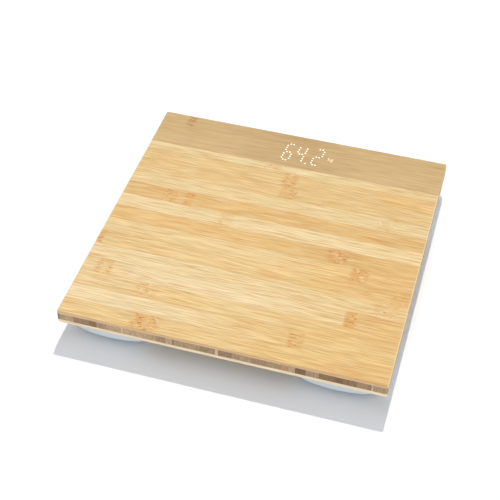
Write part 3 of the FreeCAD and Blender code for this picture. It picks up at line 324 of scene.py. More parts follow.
class Surface(Graph):
    """A material under construction, with its Principled shader and places in mm."""

    def __init__(self, name: str) -> None:
        """Starts a material of that name.

        Args:
            name: The material's name.
        """
        self.material = bpy.data.materials.new(name)
        self.material.use_nodes = True
        super().__init__(self.material.node_tree)
        self.shader = self.tree.nodes["Principled BSDF"]
        coords = self.add("TexCoord")
        self.place = self.scaled(Wire(self, coords.outputs["Object"]), 1 / MM)
        self.facing = Wire(self, coords.outputs["Normal"])

    def set(self, **sockets: Any) -> None:
        """Sets or links the shader's sockets; an underscore stands for a space."""
        for name, value in sockets.items():
            self.feed(self.shader.inputs[name.replace("_", " ")], value)

    def clear_where(self, factor: Wire) -> None:
        """Lets the view through where the factor is one.

        Args:
            factor: From zero, where the surface is whole, to one, where it is clear.
        """
        clear = self.wire("BsdfTransparent")
        whole = Wire(self, self.shader.outputs[0])
        blend = self.wire("MixShader", None, {0: factor, 1: whole, 2: clear})
        self.feed(self.tree.nodes["Material Output"].inputs["Surface"], blend)

    def relief(self, height: Wire, depth: float) -> None:
        """Raises and sinks the surface by a height from zero to one, depth in mm."""
        sockets = {"Strength": 1.0, "Distance": depth * MM, "Height": height}
        self.set(Normal=self.wire("Bump", None, sockets))

    def around(self, centre: Vector) -> tuple[Wire, Wire, Wire]:
        """Gives the place on the piece in mm from a centre in metres.

        Args:
            centre: The centre, in metres.

        Returns:
            The three values, in mm.
        """
        sockets = {0: self.place, 1: tuple(centre / MM)}
        moved = self.wire("VectorMath", {"operation": "SUBTRACT"}, sockets)
        return self.split(moved)


@dataclass(frozen=True)
class Finish(ABC):
    """What a piece can be dressed in."""

    name: str

    def material(self) -> bpy.types.Material:
        """Builds the finish.

        Returns:
            The material.
        """
        surface = Surface(self.name)
        self.draw(surface)
        return surface.material

    @abstractmethod
    def draw(self, s: Surface) -> None:
        """Draws the colour, the gloss and the relief on a new surface."""


# --- Bamboo ---------------------------------------------------------------------------


class Swatch(Enum):
    """Named colours."""

    @property
    def colour(self) -> Colour:
        """The member as a linear colour."""
        return paint(self.value)


class Tone(Swatch):
    """Colours that a bamboo stave comes in, and the darker ones of the veneer."""

    MILK = "#F6DCAC"
    CREAM = "#F3D8A4"
    PEARL = "#EED5A0"
    OAT = "#F2D49D"
    WHEAT = "#F0D097"
    SAND = "#ECD099"
    STRAW = "#EECC8F"
    DUNE = "#E9C689"
    HONEY = "#EDC888"
    AMBER = "#EBC281"
    CARAMEL = "#E8BE7D"
    TOFFEE = "#E4BA7A"
    LATTE = "#D8B783"
    BISCUIT = "#D4B47F"
    FAWN = "#CFAD7B"
    HAZEL = "#CBAA79"


class Char(Swatch):
    """Colours that a block of the carbonised core comes in, seen on its end grain."""

    JOINT = "#CCB194"
    PALE = "#BA9C7C"
    TAN = "#B49676"
    MID = "#A88E6E"
    BROWN = "#A08266"
    OLIVE = "#968062"
    RUSSET = "#B68C66"
    UMBER = "#967961"
    DARK = "#896C50"
    COFFEE = "#806248"


@dataclass(frozen=True)
class Turn:
    """Where a stave turns to its next tone, and over what length."""

    place: float
    tone: Tone
    soft: float = 30.0


@dataclass(frozen=True)
class Knot:
    """The mark of the cane's joint: its middle, half its length, its dark and pale parts."""

    place: float
    reach: float = 9.0
    dark: float = 0.7
    pale: float = 0.4


@dataclass(frozen=True)
class Stave:
    """One stave: its tone at the left end, its turns to other tones, and its joints."""

    tone: Tone
    turns: tuple[Turn, ...] = ()
    knots: tuple[Knot, ...] = ()


def ranked(rows: Sequence[Sequence[Any]], rank: int, missing: Any) -> list[Any]:
    """Gives each row's item of a rank, or the missing one where the row is shorter."""
    return [row[rank] if len(row) > rank else missing for row in rows]


# Staves from the front edge to the back; places are mm to the right of the middle.
PLATFORM_STAVES = (
    Stave(
        Tone.STRAW,
        (Turn(14, Tone.HONEY, 40), Turn(86, Tone.AMBER, 25), Turn(114, Tone.CARAMEL, 30)),
        (Knot(-70, 14, 1.0, 0.5),),
    ),
    Stave(
        Tone.MILK,
        (Turn(-36, Tone.WHEAT, 50), Turn(0, Tone.STRAW, 30), Turn(38, Tone.HONEY, 25)),
        (Knot(62, 7.5, 0.8, 0.3),),
    ),
    Stave(
        Tone.WHEAT,
        (Turn(-80, Tone.STRAW, 30), Turn(58, Tone.HONEY, 40), Turn(86, Tone.AMBER, 30)),
        (Knot(-82, 11, 0.45, 0.5),),
    ),
    Stave(
        Tone.OAT,
        (Turn(-106, Tone.MILK, 16), Turn(36, Tone.OAT, 70), Turn(97, Tone.CARAMEL, 1.5)),
        (Knot(-130, 9, 0.6, 0.4), Knot(103, 5, 0.9, 0.2)),
    ),
    Stave(
        Tone.CREAM,
        (Turn(-32, Tone.OAT, 24), Turn(56, Tone.WHEAT, 60), Turn(108, Tone.STRAW, 24)),
        (Knot(131, 13, 0.4, 0.6),),
    ),
    Stave(
        Tone.STRAW,
        (Turn(18, Tone.HONEY, 34), Turn(60, Tone.AMBER, 26), Turn(108, Tone.CARAMEL, 16)),
        (Knot(-148, 4, 1.0, 0.2), Knot(140, 9, 0.35, 0.3)),
    ),
    Stave(
        Tone.WHEAT,
        (Turn(38, Tone.STRAW, 30), Turn(60, Tone.HONEY, 20), Turn(86, Tone.AMBER, 20)),
        (Knot(98, 9, 1.0, 0.7),),
    ),
    Stave(
        Tone.AMBER,
        (Turn(12, Tone.CARAMEL, 60), Turn(48, Tone.TOFFEE, 30), Turn(96, Tone.CARAMEL, 24)),
        (Knot(74, 11, 0.95, 0.5),),
    ),
    Stave(Tone.CREAM, (Turn(86, Tone.OAT, 40),), (Knot(-41, 8, 0.4, 0.2),)),
    Stave(
        Tone.TOFFEE,
        (Turn(-104, Tone.CARAMEL, 16), Turn(12, Tone.TOFFEE, 50)),
        (Knot(-103, 8.5, 0.6, 0.4), Knot(-84, 4.5, 1.0, 0.1)),
    ),
    Stave(
        Tone.SAND,
        (Turn(-78, Tone.OAT, 30), Turn(-14, Tone.SAND, 30)),
        (Knot(112, 12, 0.3, 0.7),),
    ),
    Stave(Tone.DUNE, (), (Knot(7, 9, 0.75, 0.4),)),
    Stave(Tone.DUNE, (Turn(92, Tone.AMBER, 30),), (Knot(4, 8, 0.75, 0.4),)),
    Stave(Tone.PEARL, (Turn(36, Tone.SAND, 30),), (Knot(-18, 9, 0.45, 0.3),)),
)
VENEER_STAVES = (
    Stave(
        Tone.LATTE,
        (Turn(-58, Tone.FAWN, 30), Turn(58, Tone.LATTE, 40)),
        (Knot(-112, 5, 0.1, 0.4),),
    ),
    Stave(Tone.BISCUIT, (Turn(-48, Tone.FAWN, 30), Turn(44, Tone.BISCUIT, 40))),
    Stave(
        Tone.BISCUIT,
        (Turn(-76, Tone.FAWN, 30), Turn(-36, Tone.HAZEL, 30), Turn(34, Tone.BISCUIT, 40)),
        (Knot(-119, 4.5, 0.9, 0.1),),
    ),
)
BACKING_STAVES = (
    Stave(Tone.MILK, (Turn(40, Tone.CREAM, 90),), (Knot(-60, 12, 0.4, 0.4),)),
    Stave(Tone.CREAM, (Turn(-20, Tone.MILK, 90),), (Knot(90, 10, 0.4, 0.4),)),
    Stave(Tone.MILK, (Turn(60, Tone.OAT, 60),), (Knot(20, 11, 0.5, 0.4),)),
    Stave(Tone.CREAM, (), (Knot(-120, 12, 0.5, 0.5),)),
    Stave(Tone.MILK, (Turn(-60, Tone.CREAM, 60),), (Knot(130, 9, 0.4, 0.3),)),
)

# The core's blocks from left to right: width in mm and tone.
CORE_BLOCKS = (
    (2, Char.COFFEE),
    (6, Char.MID),
    (7, Char.TAN),
    (15, Char.UMBER),
    (7, Char.DARK),
    (9, Char.MID),
    (14, Char.PALE),
    (1, Char.JOINT),
    (23, Char.PALE),
    (9, Char.TAN),
    (8, Char.BROWN),
    (6, Char.PALE),
    (3, Char.UMBER),
    (23, Char.MID),
    (8, Char.OLIVE),
    (6, Char.BROWN),
    (2, Char.JOINT),
    (13, Char.UMBER),
    (18, Char.MID),
    (14, Char.BROWN),
    (13, Char.MID),
    (6, Char.RUSSET),
    (6, Char.TAN),
    (9, Char.COFFEE),
    (12, Char.MID),
    (12, Char.DARK),
    (9, Char.COFFEE),
    (11, Char.DARK),
    (10, Char.BROWN),
    (3, Char.UMBER),
    (2, Char.JOINT),
    (13, Char.MID),
)


@dataclass(frozen=True)
class Grain:
    """The fibres of bamboo, drawn along one direction."""

    band: float = 5.0
    strand: float = 0.7
    thread: float = 0.9
    stretch: float = 36.0
    band_depth: float = 0.22
    strand_depth: float = 1.0
    thread_edge: tuple[float, float] = (0.02, 0.2)

    def shade(self, s: Surface, along: Wire, across: Wire, seed: Any) -> Wire:
        """Gives the light and dark of the fibres.

        Args:
            s: The surface that is built.
            along: Place along the fibres, in mm.
            across: Place across them, in mm.
            seed: A value that differs from stave to stave.

        Returns:
            A value about zero, mostly within a tenth of it.
        """
        band = s.vector(along / (self.band * self.stretch), across / self.band, seed)
        strand = s.vector(along / (self.strand * self.stretch), across / self.strand, seed)
        wide = s.noise(band, detail=1.0) * self.band_depth
        return wide + s.noise(strand, detail=2.0) * self.strand_depth

    def threads(self, s: Surface, along: Wire, across: Wire, seed: Any) -> Wire:
        """Gives the fine threads that lie between the fibres, from zero to one."""
        place = s.vector(along / (self.thread * self.stretch), across / self.thread, seed)
        return s.noise(place, detail=2.0).step(*self.thread_edge)


@dataclass(frozen=True)
class StaveBamboo(Finish):
    """Staves laid side by side, seen on their faces and, round the edge, on their sides."""

    staves: tuple[Stave, ...]
    front: float = -150.0
    half: float = 150.0
    width: float = 18.4
    side: str = "#CEA879"
    low_side: str = "#D4B48B"
    side_level: float = 30.6
    end: str = "#E6C592"
    # Pale colour of the painted highlight on the arrises at the staves' ends.
    arris_highlight: str = "#F8E6C0"
    thread: str = "#D6944A"
    gleam: str = "#FCEBC6"
    smudge: str = "#E2A158"
    fleck: str = "#F8E5B8"
    dash: str = "#B87433"
    glue: str = "#C7924F"
    pore: str = "#9C6F3C"
    tint: tuple[float, float] = (0.85, 1.3)
    gleam_share: float = 0.4
    thread_share: float = 0.65
    wave: float = 4.0
    # Where the painted highlight on the face starts and where it is full, in mm in from each end.
    end_rim_highlight: tuple[float, float] = (1.6, 0.4)
    roughness: float = 0.5
    relief: float = 0.05
    grain: Grain = field(default_factory=Grain)
    span: float = 400.0

    def draw(self, s: Surface) -> None:
        """Draws the oiled bamboo.

        Args:
            s: The surface that is built.
        """
        x, y, z = s.split(s.place)
        row = ((y - self.front) / self.width).floor()
        across = ((y - self.front) / self.width).fraction()
        waved = y + s.lumps(x, y, (70.0, 30.0), 2.0) * self.wave
        fibres = self.grain.shade(s, x, waved, row * STAVE_SEED)
        face = self._face(s, x, waved, row, across, fibres)
        ahead, _, up = s.split(s.facing)
        upright = abs(up).step(0.35, 0.75)
        endwise = abs(ahead).step(0.5, 0.8)
        edge = s.mix(endwise, self._long_side(s, x, z), self._end_grain(s, y, z))
        colour = s.mix(upright, edge, face)
        # Painted highlight: the rounded arris at each end of the staves, and a thin strip of face
        # beside it, are painted paler, as if catching the light.
        end_fillet_highlight = abs(ahead).step(0.1, 0.4) * up.step(0.2, 0.5)
        end_rim_highlight = abs(x).step(*(self.half - inset for inset in self.end_rim_highlight)) * upright * 0.5
        colour = s.mix(end_fillet_highlight.most(end_rim_highlight) * 0.8, colour, paint(self.arris_highlight))
        s.set(Base_Color=colour, Roughness=self.roughness - fibres * 0.4)
        s.set(Specular_IOR_Level=0.4)
        s.relief(fibres + 0.5, self.relief)

    def _face(
        self, s: Surface, x: Wire, y: Wire, row: Wire, across: Wire, fibres: Wire
    ) -> Wire:
        """Colours the broad face, stave by stave.

        Args:
            s: The surface that is built.
            x: Place along the staves, in mm.
            y: Place across them, in mm.
            row: The stave's number.
            across: Place across the stave, from zero to one.
            fibres: The light and dark of the fibres.

        Returns:
            The face's colour.
        """
        seed = row * STAVE_SEED
        colour = s.lookup(row, [stave.tone.colour for stave in self.staves])
        for rank in range(max(len(stave.turns) for stave in self.staves)):
            colour = self._turn(s, colour, x, y, row, rank)
        red, blue = self.tint
        tint = s.vector(1.0 + fibres * red, 1.0 + fibres, 1.0 + fibres * blue)
        colour = s.wire("VectorMath", {"operation": "MULTIPLY"}, {0: colour, 1: tint})
        pale = self.grain.threads(s, x, y, seed + 5.1)
        colour = s.mix(pale * self.gleam_share, colour, paint(self.gleam))
        deep = self.grain.threads(s, x, y, seed + 2.7)
        colour = s.mix(deep * self.thread_share, colour, paint(self.thread))
        for rank in range(max(len(stave.knots) for stave in self.staves)):
            colour = self._knots(s, colour, x, y, row, across, rank)
        return self._glue(s, colour, x, across, seed)

    def _turn(
        self, s: Surface, colour: Wire, x: Wire, y: Wire, row: Wire, rank: int
    ) -> Wire:
        """Turns each stave to its next tone, where it has one.

        Args:
            s: The surface that is built.
            colour: The colour so far.
            x: Place along the staves, in mm.
            y: Place across them, in mm.
            row: The stave's number.
            rank: Which of a stave's turns is made.

        Returns:
            The colour past that turn.
        """
        never = Turn(self.span / 2, Tone.MILK)
        turns = ranked([stave.turns for stave in self.staves], rank, never)
        tone = s.lookup(row, [turn.tone.colour for turn in turns])
        rows = [self._pack(turn.place, turn.soft) for turn in turns]
        place, soft, _ = s.split(s.lookup(row, rows))
        drift = s.lumps(x, y, (60.0, 5.0), row * STAVE_SEED) * soft * self.span
        passed = (x + drift - self._unpack(place)) / (soft * self.span)
        return s.mix((passed + 0.5).clamp(), colour, tone)

    def _pack(self, place: float, length: float) -> Colour:
        """Puts a place along the stave and a length into one table row."""
        return (place / self.span + 0.5, length / self.span, 0.0, 1.0)

    def _unpack(self, place: Wire) -> Wire:
        """Gives back the place in mm from a table row."""
        return (place - 0.5) * self.span

    def _knots(
        self, s: Surface, colour: Wire, x: Wire, y: Wire, row: Wire, across: Wire, rank: int
    ) -> Wire:
        """Lays the marks of the cane's joints over the staves.

        Args:
            s: The surface that is built.
            colour: The colour so far.
            x: Place along the staves, in mm.
            y: Place across them, in mm.
            row: The stave's number.
            across: Place across the stave, from zero to one.
            rank: Which of a stave's joints is drawn.

        Returns:
            The colour with the marks.
        """
        none = Knot(0.0, 1.0, 0.0, 0.0)
        knots = ranked([stave.knots for stave in self.staves], rank, none)
        places = s.lookup(row, [self._pack(knot.place, knot.reach) for knot in knots])
        place, reach, _ = s.split(places)
        depths = s.lookup(row, [(knot.dark, knot.pale, 0.0, 1.0) for knot in knots])
        dark, pale, _ = s.split(depths)
        frayed = s.lumps(x, y, (14.0, 1.4), row) * 10.0
        away = abs(x - self._unpack(place) + frayed) / (reach * self.span)
        inset = across.least(1.0 - across).step(-0.08, 0.06)
        near = (1.0 - away.step(0.6, 1.15)) * inset
        bent = y + s.lumps(x, y, (7.0, 9.0), row + 1.0) * 9.0
        smudge = s.lumps(x, y, (9.0, 4.0), row + 3.0, detail=3.0).step(-0.25, 0.1)
        colour = s.mix(near * smudge * dark * 0.6, colour, paint(self.smudge))
        flecks = s.lumps(x, bent, (7.0, 2.8), row + 8.0).step(0.0, 0.2)
        colour = s.mix(near * flecks * pale * 0.9, colour, paint(self.fleck))
        dashes = s.lumps(x, bent, (6.0, 1.5), row + 5.0).step(0.02, 0.2)
        return s.mix(near * dashes * dark * 0.95, colour, paint(self.dash))

    def _glue(self, s: Surface, colour: Wire, x: Wire, across: Wire, seed: Wire) -> Wire:
        """Draws the thin glue line between staves, strong in places and gone in others.

        Args:
            s: The surface that is built.
            colour: The colour so far.
            x: Place along the staves, in mm.
            across: Place across the stave, from zero to one.
            seed: A value that differs from stave to stave.

        Returns:
            The colour with the lines.
        """
        edge = across.least(1.0 - across) * self.width
        line = 1.0 - edge.step(0.15, 0.8)
        strength = s.noise(s.vector(x / 120.0, seed, 4.0)).step(-0.2, 0.25)
        return s.mix(line * strength * 0.5, colour, paint(self.glue))

    def _long_side(self, s: Surface, x: Wire, z: Wire) -> Wire:
        """Colours a side that shows the fibres' length, paler towards its lower edge.

        Args:
            s: The surface that is built.
            x: Place along the fibres, in mm.
            z: Height, in mm.

        Returns:
            The side's colour.
        """
        fibres = self.grain.shade(s, x, z * SIDE_CLOSENESS, 11.0)
        patch = s.noise(s.vector(x / 35.0, 2.0, 7.0)) * 0.25
        high = z.step(self.side_level - 0.5, self.side_level + 0.5)
        colour = s.mix(high, paint(self.low_side), paint(self.side))
        return s.scaled(colour, 1.0 + fibres + patch)

    def _end_grain(self, s: Surface, y: Wire, z: Wire) -> Wire:
        """Colours a side that shows the cut ends of the fibres, as small dark dots.

        Args:
            s: The surface that is built.
            y: Place across the fibres, in mm.
            z: Height, in mm.

        Returns:
            The side's colour.
        """
        dots = s.lumps(y, z, (0.8, 0.6), 3.0, detail=1.0).step(0.05, 0.2)
        patch = s.noise(s.vector(y / 18.0, 2.0, 9.0)) * 0.3
        colour = s.mix(dots * 0.5, paint(self.end), paint(self.pore))
        return s.scaled(colour, 1.0 + patch)


@dataclass(frozen=True)
class CoreBamboo(Finish):
    """The carbonised core: blocks laid from front to back, dark and light by turns."""

    blocks: tuple[tuple[float, Char], ...]
    left: float = -150.0
    vein: str = "#5E4230"
    grain: Grain = field(default_factory=Grain)

    def draw(self, s: Surface) -> None:
        """Draws the blocks, their end grain in front.

        Args:
            s: The surface that is built.
        """
        x, y, z = s.split(s.place)
        _, forward, _ = s.split(s.facing)
        width = sum(size for size, _ in self.blocks)
        starts = accumulate((size for size, _ in self.blocks), initial=0.0)
        stops = [(start / width, tone.colour) for start, (_, tone) in zip(starts, self.blocks)]
        wobble = s.lumps(z, x, (2.0, 30.0), 5.0) * 0.8
        blocks = s.ramp((x + wobble - self.left) / width, stops)
        dots = s.lumps(x, z, (1.1, 0.9), 3.0)
        bars = s.lumps(x, z, (1.8, 7.0), 8.0, detail=1.0)
        ends = s.scaled(blocks, 1.0 + dots * 1.1 + bars * 0.7)
        veins = s.lumps(x, z, (5.0, 1.5), 6.0).step(0.05, 0.3)
        ends = s.mix(veins * 0.35, ends, paint(self.vein))
        fibres = self.grain.shade(s, y, z * SIDE_CLOSENESS, 4.0)
        lengths = s.scaled(blocks, 1.0 + fibres)
        frontal = abs(forward).step(0.4, 0.7)
        colour = s.mix(frontal, lengths, ends)
        s.set(Base_Color=colour, Roughness=0.6 - dots * 0.2, Specular_IOR_Level=0.35)
        s.relief(dots + 0.5, 0.04)


# --- Other finishes -------------------------------------------------------------------


@dataclass(frozen=True)
class Moulded(Finish):
    """A moulded plastic with the fine texture of its tool."""

    colour: str
    roughness: float = 0.5
    texture: float = 0.45
    depth: float = 0.012
    shade: float = 0.03
    coat: float = 0.0
    dust: str = "#B9B2A6"

    def draw(self, s: Surface) -> None:
        """Draws the plastic.

        Args:
            s: The surface that is built.
        """
        fine = s.noise(s.scaled(s.place, 1 / self.texture), detail=2.0)
        flow = s.noise(s.scaled(s.place, 1 / 38.0), detail=2.0)
        _, _, up = s.split(s.facing)
        dust = up.clamp() * s.noise(s.scaled(s.place, 1 / 6.0), detail=4.0).step(0.0, 0.3)
        tint = s.mix(dust * 0.06, paint(self.colour), paint(self.dust))
        s.set(Base_Color=s.scaled(tint, 1.0 + flow * self.shade * 2.0 + fine * self.shade))
        s.set(Roughness=self.roughness + flow * 0.12 + fine * 0.08)
        s.set(Coat_Weight=self.coat, Coat_Roughness=0.12)
        s.relief(fine + 0.5, self.depth)


@dataclass(frozen=True)
class Rubber(Finish):
    """A soft elastomer: dull, a little mottled, with a leathery skin."""

    colour: str
    grain: float = 0.7

    def draw(self, s: Surface) -> None:
        """Draws the rubber.

        Args:
            s: The surface that is built.
        """
        skin = s.noise(s.scaled(s.place, 1 / self.grain), detail=4.0, rough=0.6)
        cloud = s.noise(s.scaled(s.place, 1 / 9.0), detail=3.0)
        s.set(Base_Color=s.scaled(paint(self.colour), 1.0 + cloud * 0.25))
        s.set(Roughness=0.78 + skin * 0.2)
        s.relief(skin + 0.5, 0.03)


@dataclass(frozen=True)
class Steel(Finish):
    """Sheet or turned steel, brushed or plated."""

    colour: str = "#C6C7C8"
    roughness: float = 0.32
    brush: tuple[float, float, float] = (0.25, 14.0, 0.25)
    stain: str = "#A9A6A0"

    def draw(self, s: Surface) -> None:
        """Draws the steel.

        Args:
            s: The surface that is built.
        """
        x, y, z = s.split(s.place)
        across, along, up = self.brush
        lines = s.noise(s.vector(x / across, y / along, z / up), detail=3.0)
        stain = s.noise(s.scaled(s.place, 1 / 7.0), detail=3.0).step(-0.1, 0.35)
        colour = s.mix(stain * 0.25, paint(self.colour), paint(self.stain))
        s.set(Base_Color=s.scaled(colour, 1.0 + lines * 0.2), Metallic=1.0)
        s.set(Roughness=self.roughness + lines * 0.25 + stain * 0.08)
        s.relief(lines + 0.5, 0.006)


SCREW_STEEL = Steel("screw_steel", "#B9BBBD", 0.3)


@dataclass(frozen=True)
class CircuitBoard(Finish):
    """Glass laminate under solder resist, with the tracks showing through."""

    colour: str = "#1F6B47"
    track: str = "#3C9468"
    pitch: float = 2.54

    def draw(self, s: Surface) -> None:
        """Draws the board.

        Args:
            s: The surface that is built.
        """
        x, y, _ = s.split(s.place)
        lane = abs((y / self.pitch).fraction() - 0.5)
        cell = (y / self.pitch).floor()
        run = s.noise(s.vector(x / 11.0, cell * 3.7, 1.0), detail=0.0).step(-0.02, 0.0)
        tracks = (1.0 - lane.step(0.1, 0.16)) * run
        cross = abs((x / self.pitch).fraction() - 0.5)
        column = (x / self.pitch).floor()
        rise = s.noise(s.vector(column * 3.1, y / 9.0, 6.0), detail=0.0).step(0.05, 0.07)
        tracks = tracks.most((1.0 - cross.step(0.1, 0.16)) * rise)
        weave = s.noise(s.scaled(s.place, 1 / 0.4), detail=1.0)
        colour = s.mix(tracks * 0.75, paint(self.colour), paint(self.track))
        s.set(Base_Color=s.scaled(colour, 1.0 + weave * 0.15), Roughness=0.32 + weave * 0.1)
        s.relief(tracks * 0.8 + weave * 0.1, 0.02)


@dataclass(frozen=True)
class BatterySleeve(Finish):
    """A plain shrink sleeve with a band at one end, and a steel cup past both ends."""

    centre: tuple[float, float, float]
    length: float
    body: str = "#2F5D8A"
    band: str = "#D9DCDF"
    can: str = "#C9C7C2"
    band_start: float = 0.42
    cup: float = 0.9

    def draw(self, s: Surface) -> None:
        """Draws the sleeve and the bare ends of the can.

        Args:
            s: The surface that is built.
        """
        x, _, _ = s.around(Vector(self.centre))
        half = self.length / 2
        start = half * self.band_start
        wear = s.noise(s.scaled(s.place, 1 / 1.6), detail=4.0)
        banded = (x + wear * 0.02).step(start, start + 0.2)
        colour = s.mix(banded, paint(self.body), paint(self.band))
        endwise, _, _ = s.split(s.facing)
        cup = half - self.cup
        bare = abs(endwise).step(0.6, 0.8).most(abs(x).step(cup, cup + 0.1))
        colour = s.mix(bare, colour, paint(self.can))
        s.set(Base_Color=s.scaled(colour, 1.0 + wear * 0.08), Metallic=bare)
        s.set(Roughness=0.3 + wear * 0.15, Coat_Weight=1.0 - bare, Coat_Roughness=0.1)
        s.relief(wear + 0.5, 0.01)


@dataclass(frozen=True)
class Glow(Finish):
    """Light that comes up through the veneer."""

    colour: str = "#FFF8E8"
    shaded: str = "#FFE9BE"
    strength: float = 1.0

    def draw(self, s: Surface) -> None:
        """Draws the light, a little uneven from the grain that it passes.

        Args:
            s: The surface that is built.
        """
        x, y, _ = s.split(s.place)
        grain = s.lumps(x, y, (4.0, 0.4), 1.0)
        colour = s.mix((grain + 0.3).clamp() * 0.3, paint(self.colour), paint(self.shaded))
        s.set(Base_Color=colour, Emission_Color=colour, Emission_Strength=self.strength)
        s.set(Roughness=0.5)


# --- Pieces and sub-assemblies --------------------------------------------------------


class Wardrobe:
    """Dresses the frame's nodes and keeps each finish as one material."""

    def __init__(self, nodes: Mapping[str, bpy.types.Object]) -> None:
        """Keeps the frame's nodes by name.

        Args:
            nodes: The frame's nodes by name.
        """
        self.nodes = nodes
        self.made: dict[Finish, bpy.types.Material] = {}
        self.dressed: set[str] = set()

    def cloth(self, finish: Finish) -> bpy.types.Material:
        """Gives the finish's material, built once.

        Args:
            finish: The finish.

        Returns:
            Its material.
        """
        if finish not in self.made:
            self.made[finish] = finish.material()
        return self.made[finish]

    def dress(self, finish: Finish, *names: str) -> None:
        """Puts a finish on nodes of the frame.

        Args:
            finish: The finish.
            *names: The nodes that wear it.
        """
        for name in names:
            piece = self.nodes[name]
            for slot in piece.material_slots:
                slot.material = self.cloth(finish)
            self.dressed.add(name)
            LOG.info("dressed %s in %s", name, finish.name)

    def check(self) -> None:
        """Reports any node that no finish was given to."""
        for name in sorted(set(self.nodes) - self.dressed):
            LOG.warning("no finish on %s", name)


def new_piece(
    name: str, mesh: bmesh.types.BMesh, material: bpy.types.Material, body: str
) -> bpy.types.Object:
    """Turns a bmesh into a piece that rides on a body.

    Args:
        name: The piece's name.
        mesh: Its shape, in place, in metres; it is freed.
        material: Its finish.
        body: The body that it rides on.

    Returns:
        The piece.
    """
    data = bpy.data.meshes.new(name)
    mesh.to_mesh(data)
    mesh.free()
    data.materials.append(material)
    piece = bpy.data.objects.new(name, data)
    bpy.context.scene.collection.objects.link(piece)
    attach(piece, body)
    LOG.info("built %s with %d faces on %s", name, len(data.polygons), body)
    return piece


@dataclass
class Platform:
    """The three bonded plies and the darker veneer over the display."""

    wardrobe: Wardrobe

    def build(self) -> None:
        """Dresses the plies."""
        low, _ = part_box("top_ply")
        front = low.y / MM
        face = StaveBamboo("pale_bamboo_staves", PLATFORM_STAVES, front=front)
        self.wardrobe.dress(face, "top_ply")
        veneer_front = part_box("display_veneer")[0].y / MM
        veneer = StaveBamboo(
            "smoked_bamboo_veneer",
            VENEER_STAVES,
            front=veneer_front,
            width=16.7,
            side="#B58F66",
            low_side="#B58F66",
            end="#BD9A70",
            # The veneer's painted highlight on its end arrises.
            arris_highlight="#DCC193",
            thread="#B88C58",
            gleam="#E0C294",
            smudge="#BF8A55",
            fleck="#E4C79A",
            dash="#976238",
            grain=Grain(band_depth=0.15, strand_depth=0.45),
        )
        self.wardrobe.dress(veneer, "display_veneer")
        core = CoreBamboo("carbonised_bamboo_core", CORE_BLOCKS, left=low.x / MM)
        self.wardrobe.dress(core, "core_ply")
        backing = StaveBamboo(
            "cream_bamboo_backing",
            BACKING_STAVES,
            front=front,
            width=60.0,
            side="#EDD9B7",
            low_side="#EDD9B7",
            end="#F0DAB2",
        )
        self.wardrobe.dress(backing, "bottom_ply")


class Segment(Enum):
    """The seven segments of a digit: half widths across and half heights up."""

    TOP = (0, 2)
    UPPER_RIGHT = (1, 1)
    LOWER_RIGHT = (1, -1)
    BOTTOM = (0, -2)
    LOWER_LEFT = (-1, -1)
    UPPER_LEFT = (-1, 1)
    MIDDLE = (0, 0)

    @property
    def is_upright(self) -> bool:
        """Whether the dots stand over each other."""
        return self.value[0] != 0


SIX = tuple(segment for segment in Segment if segment is not Segment.UPPER_RIGHT)
FOUR = (Segment.UPPER_LEFT, Segment.UPPER_RIGHT, Segment.MIDDLE, Segment.LOWER_RIGHT)
TWO = (Segment.TOP, Segment.UPPER_RIGHT, Segment.MIDDLE, Segment.LOWER_LEFT, Segment.BOTTOM)


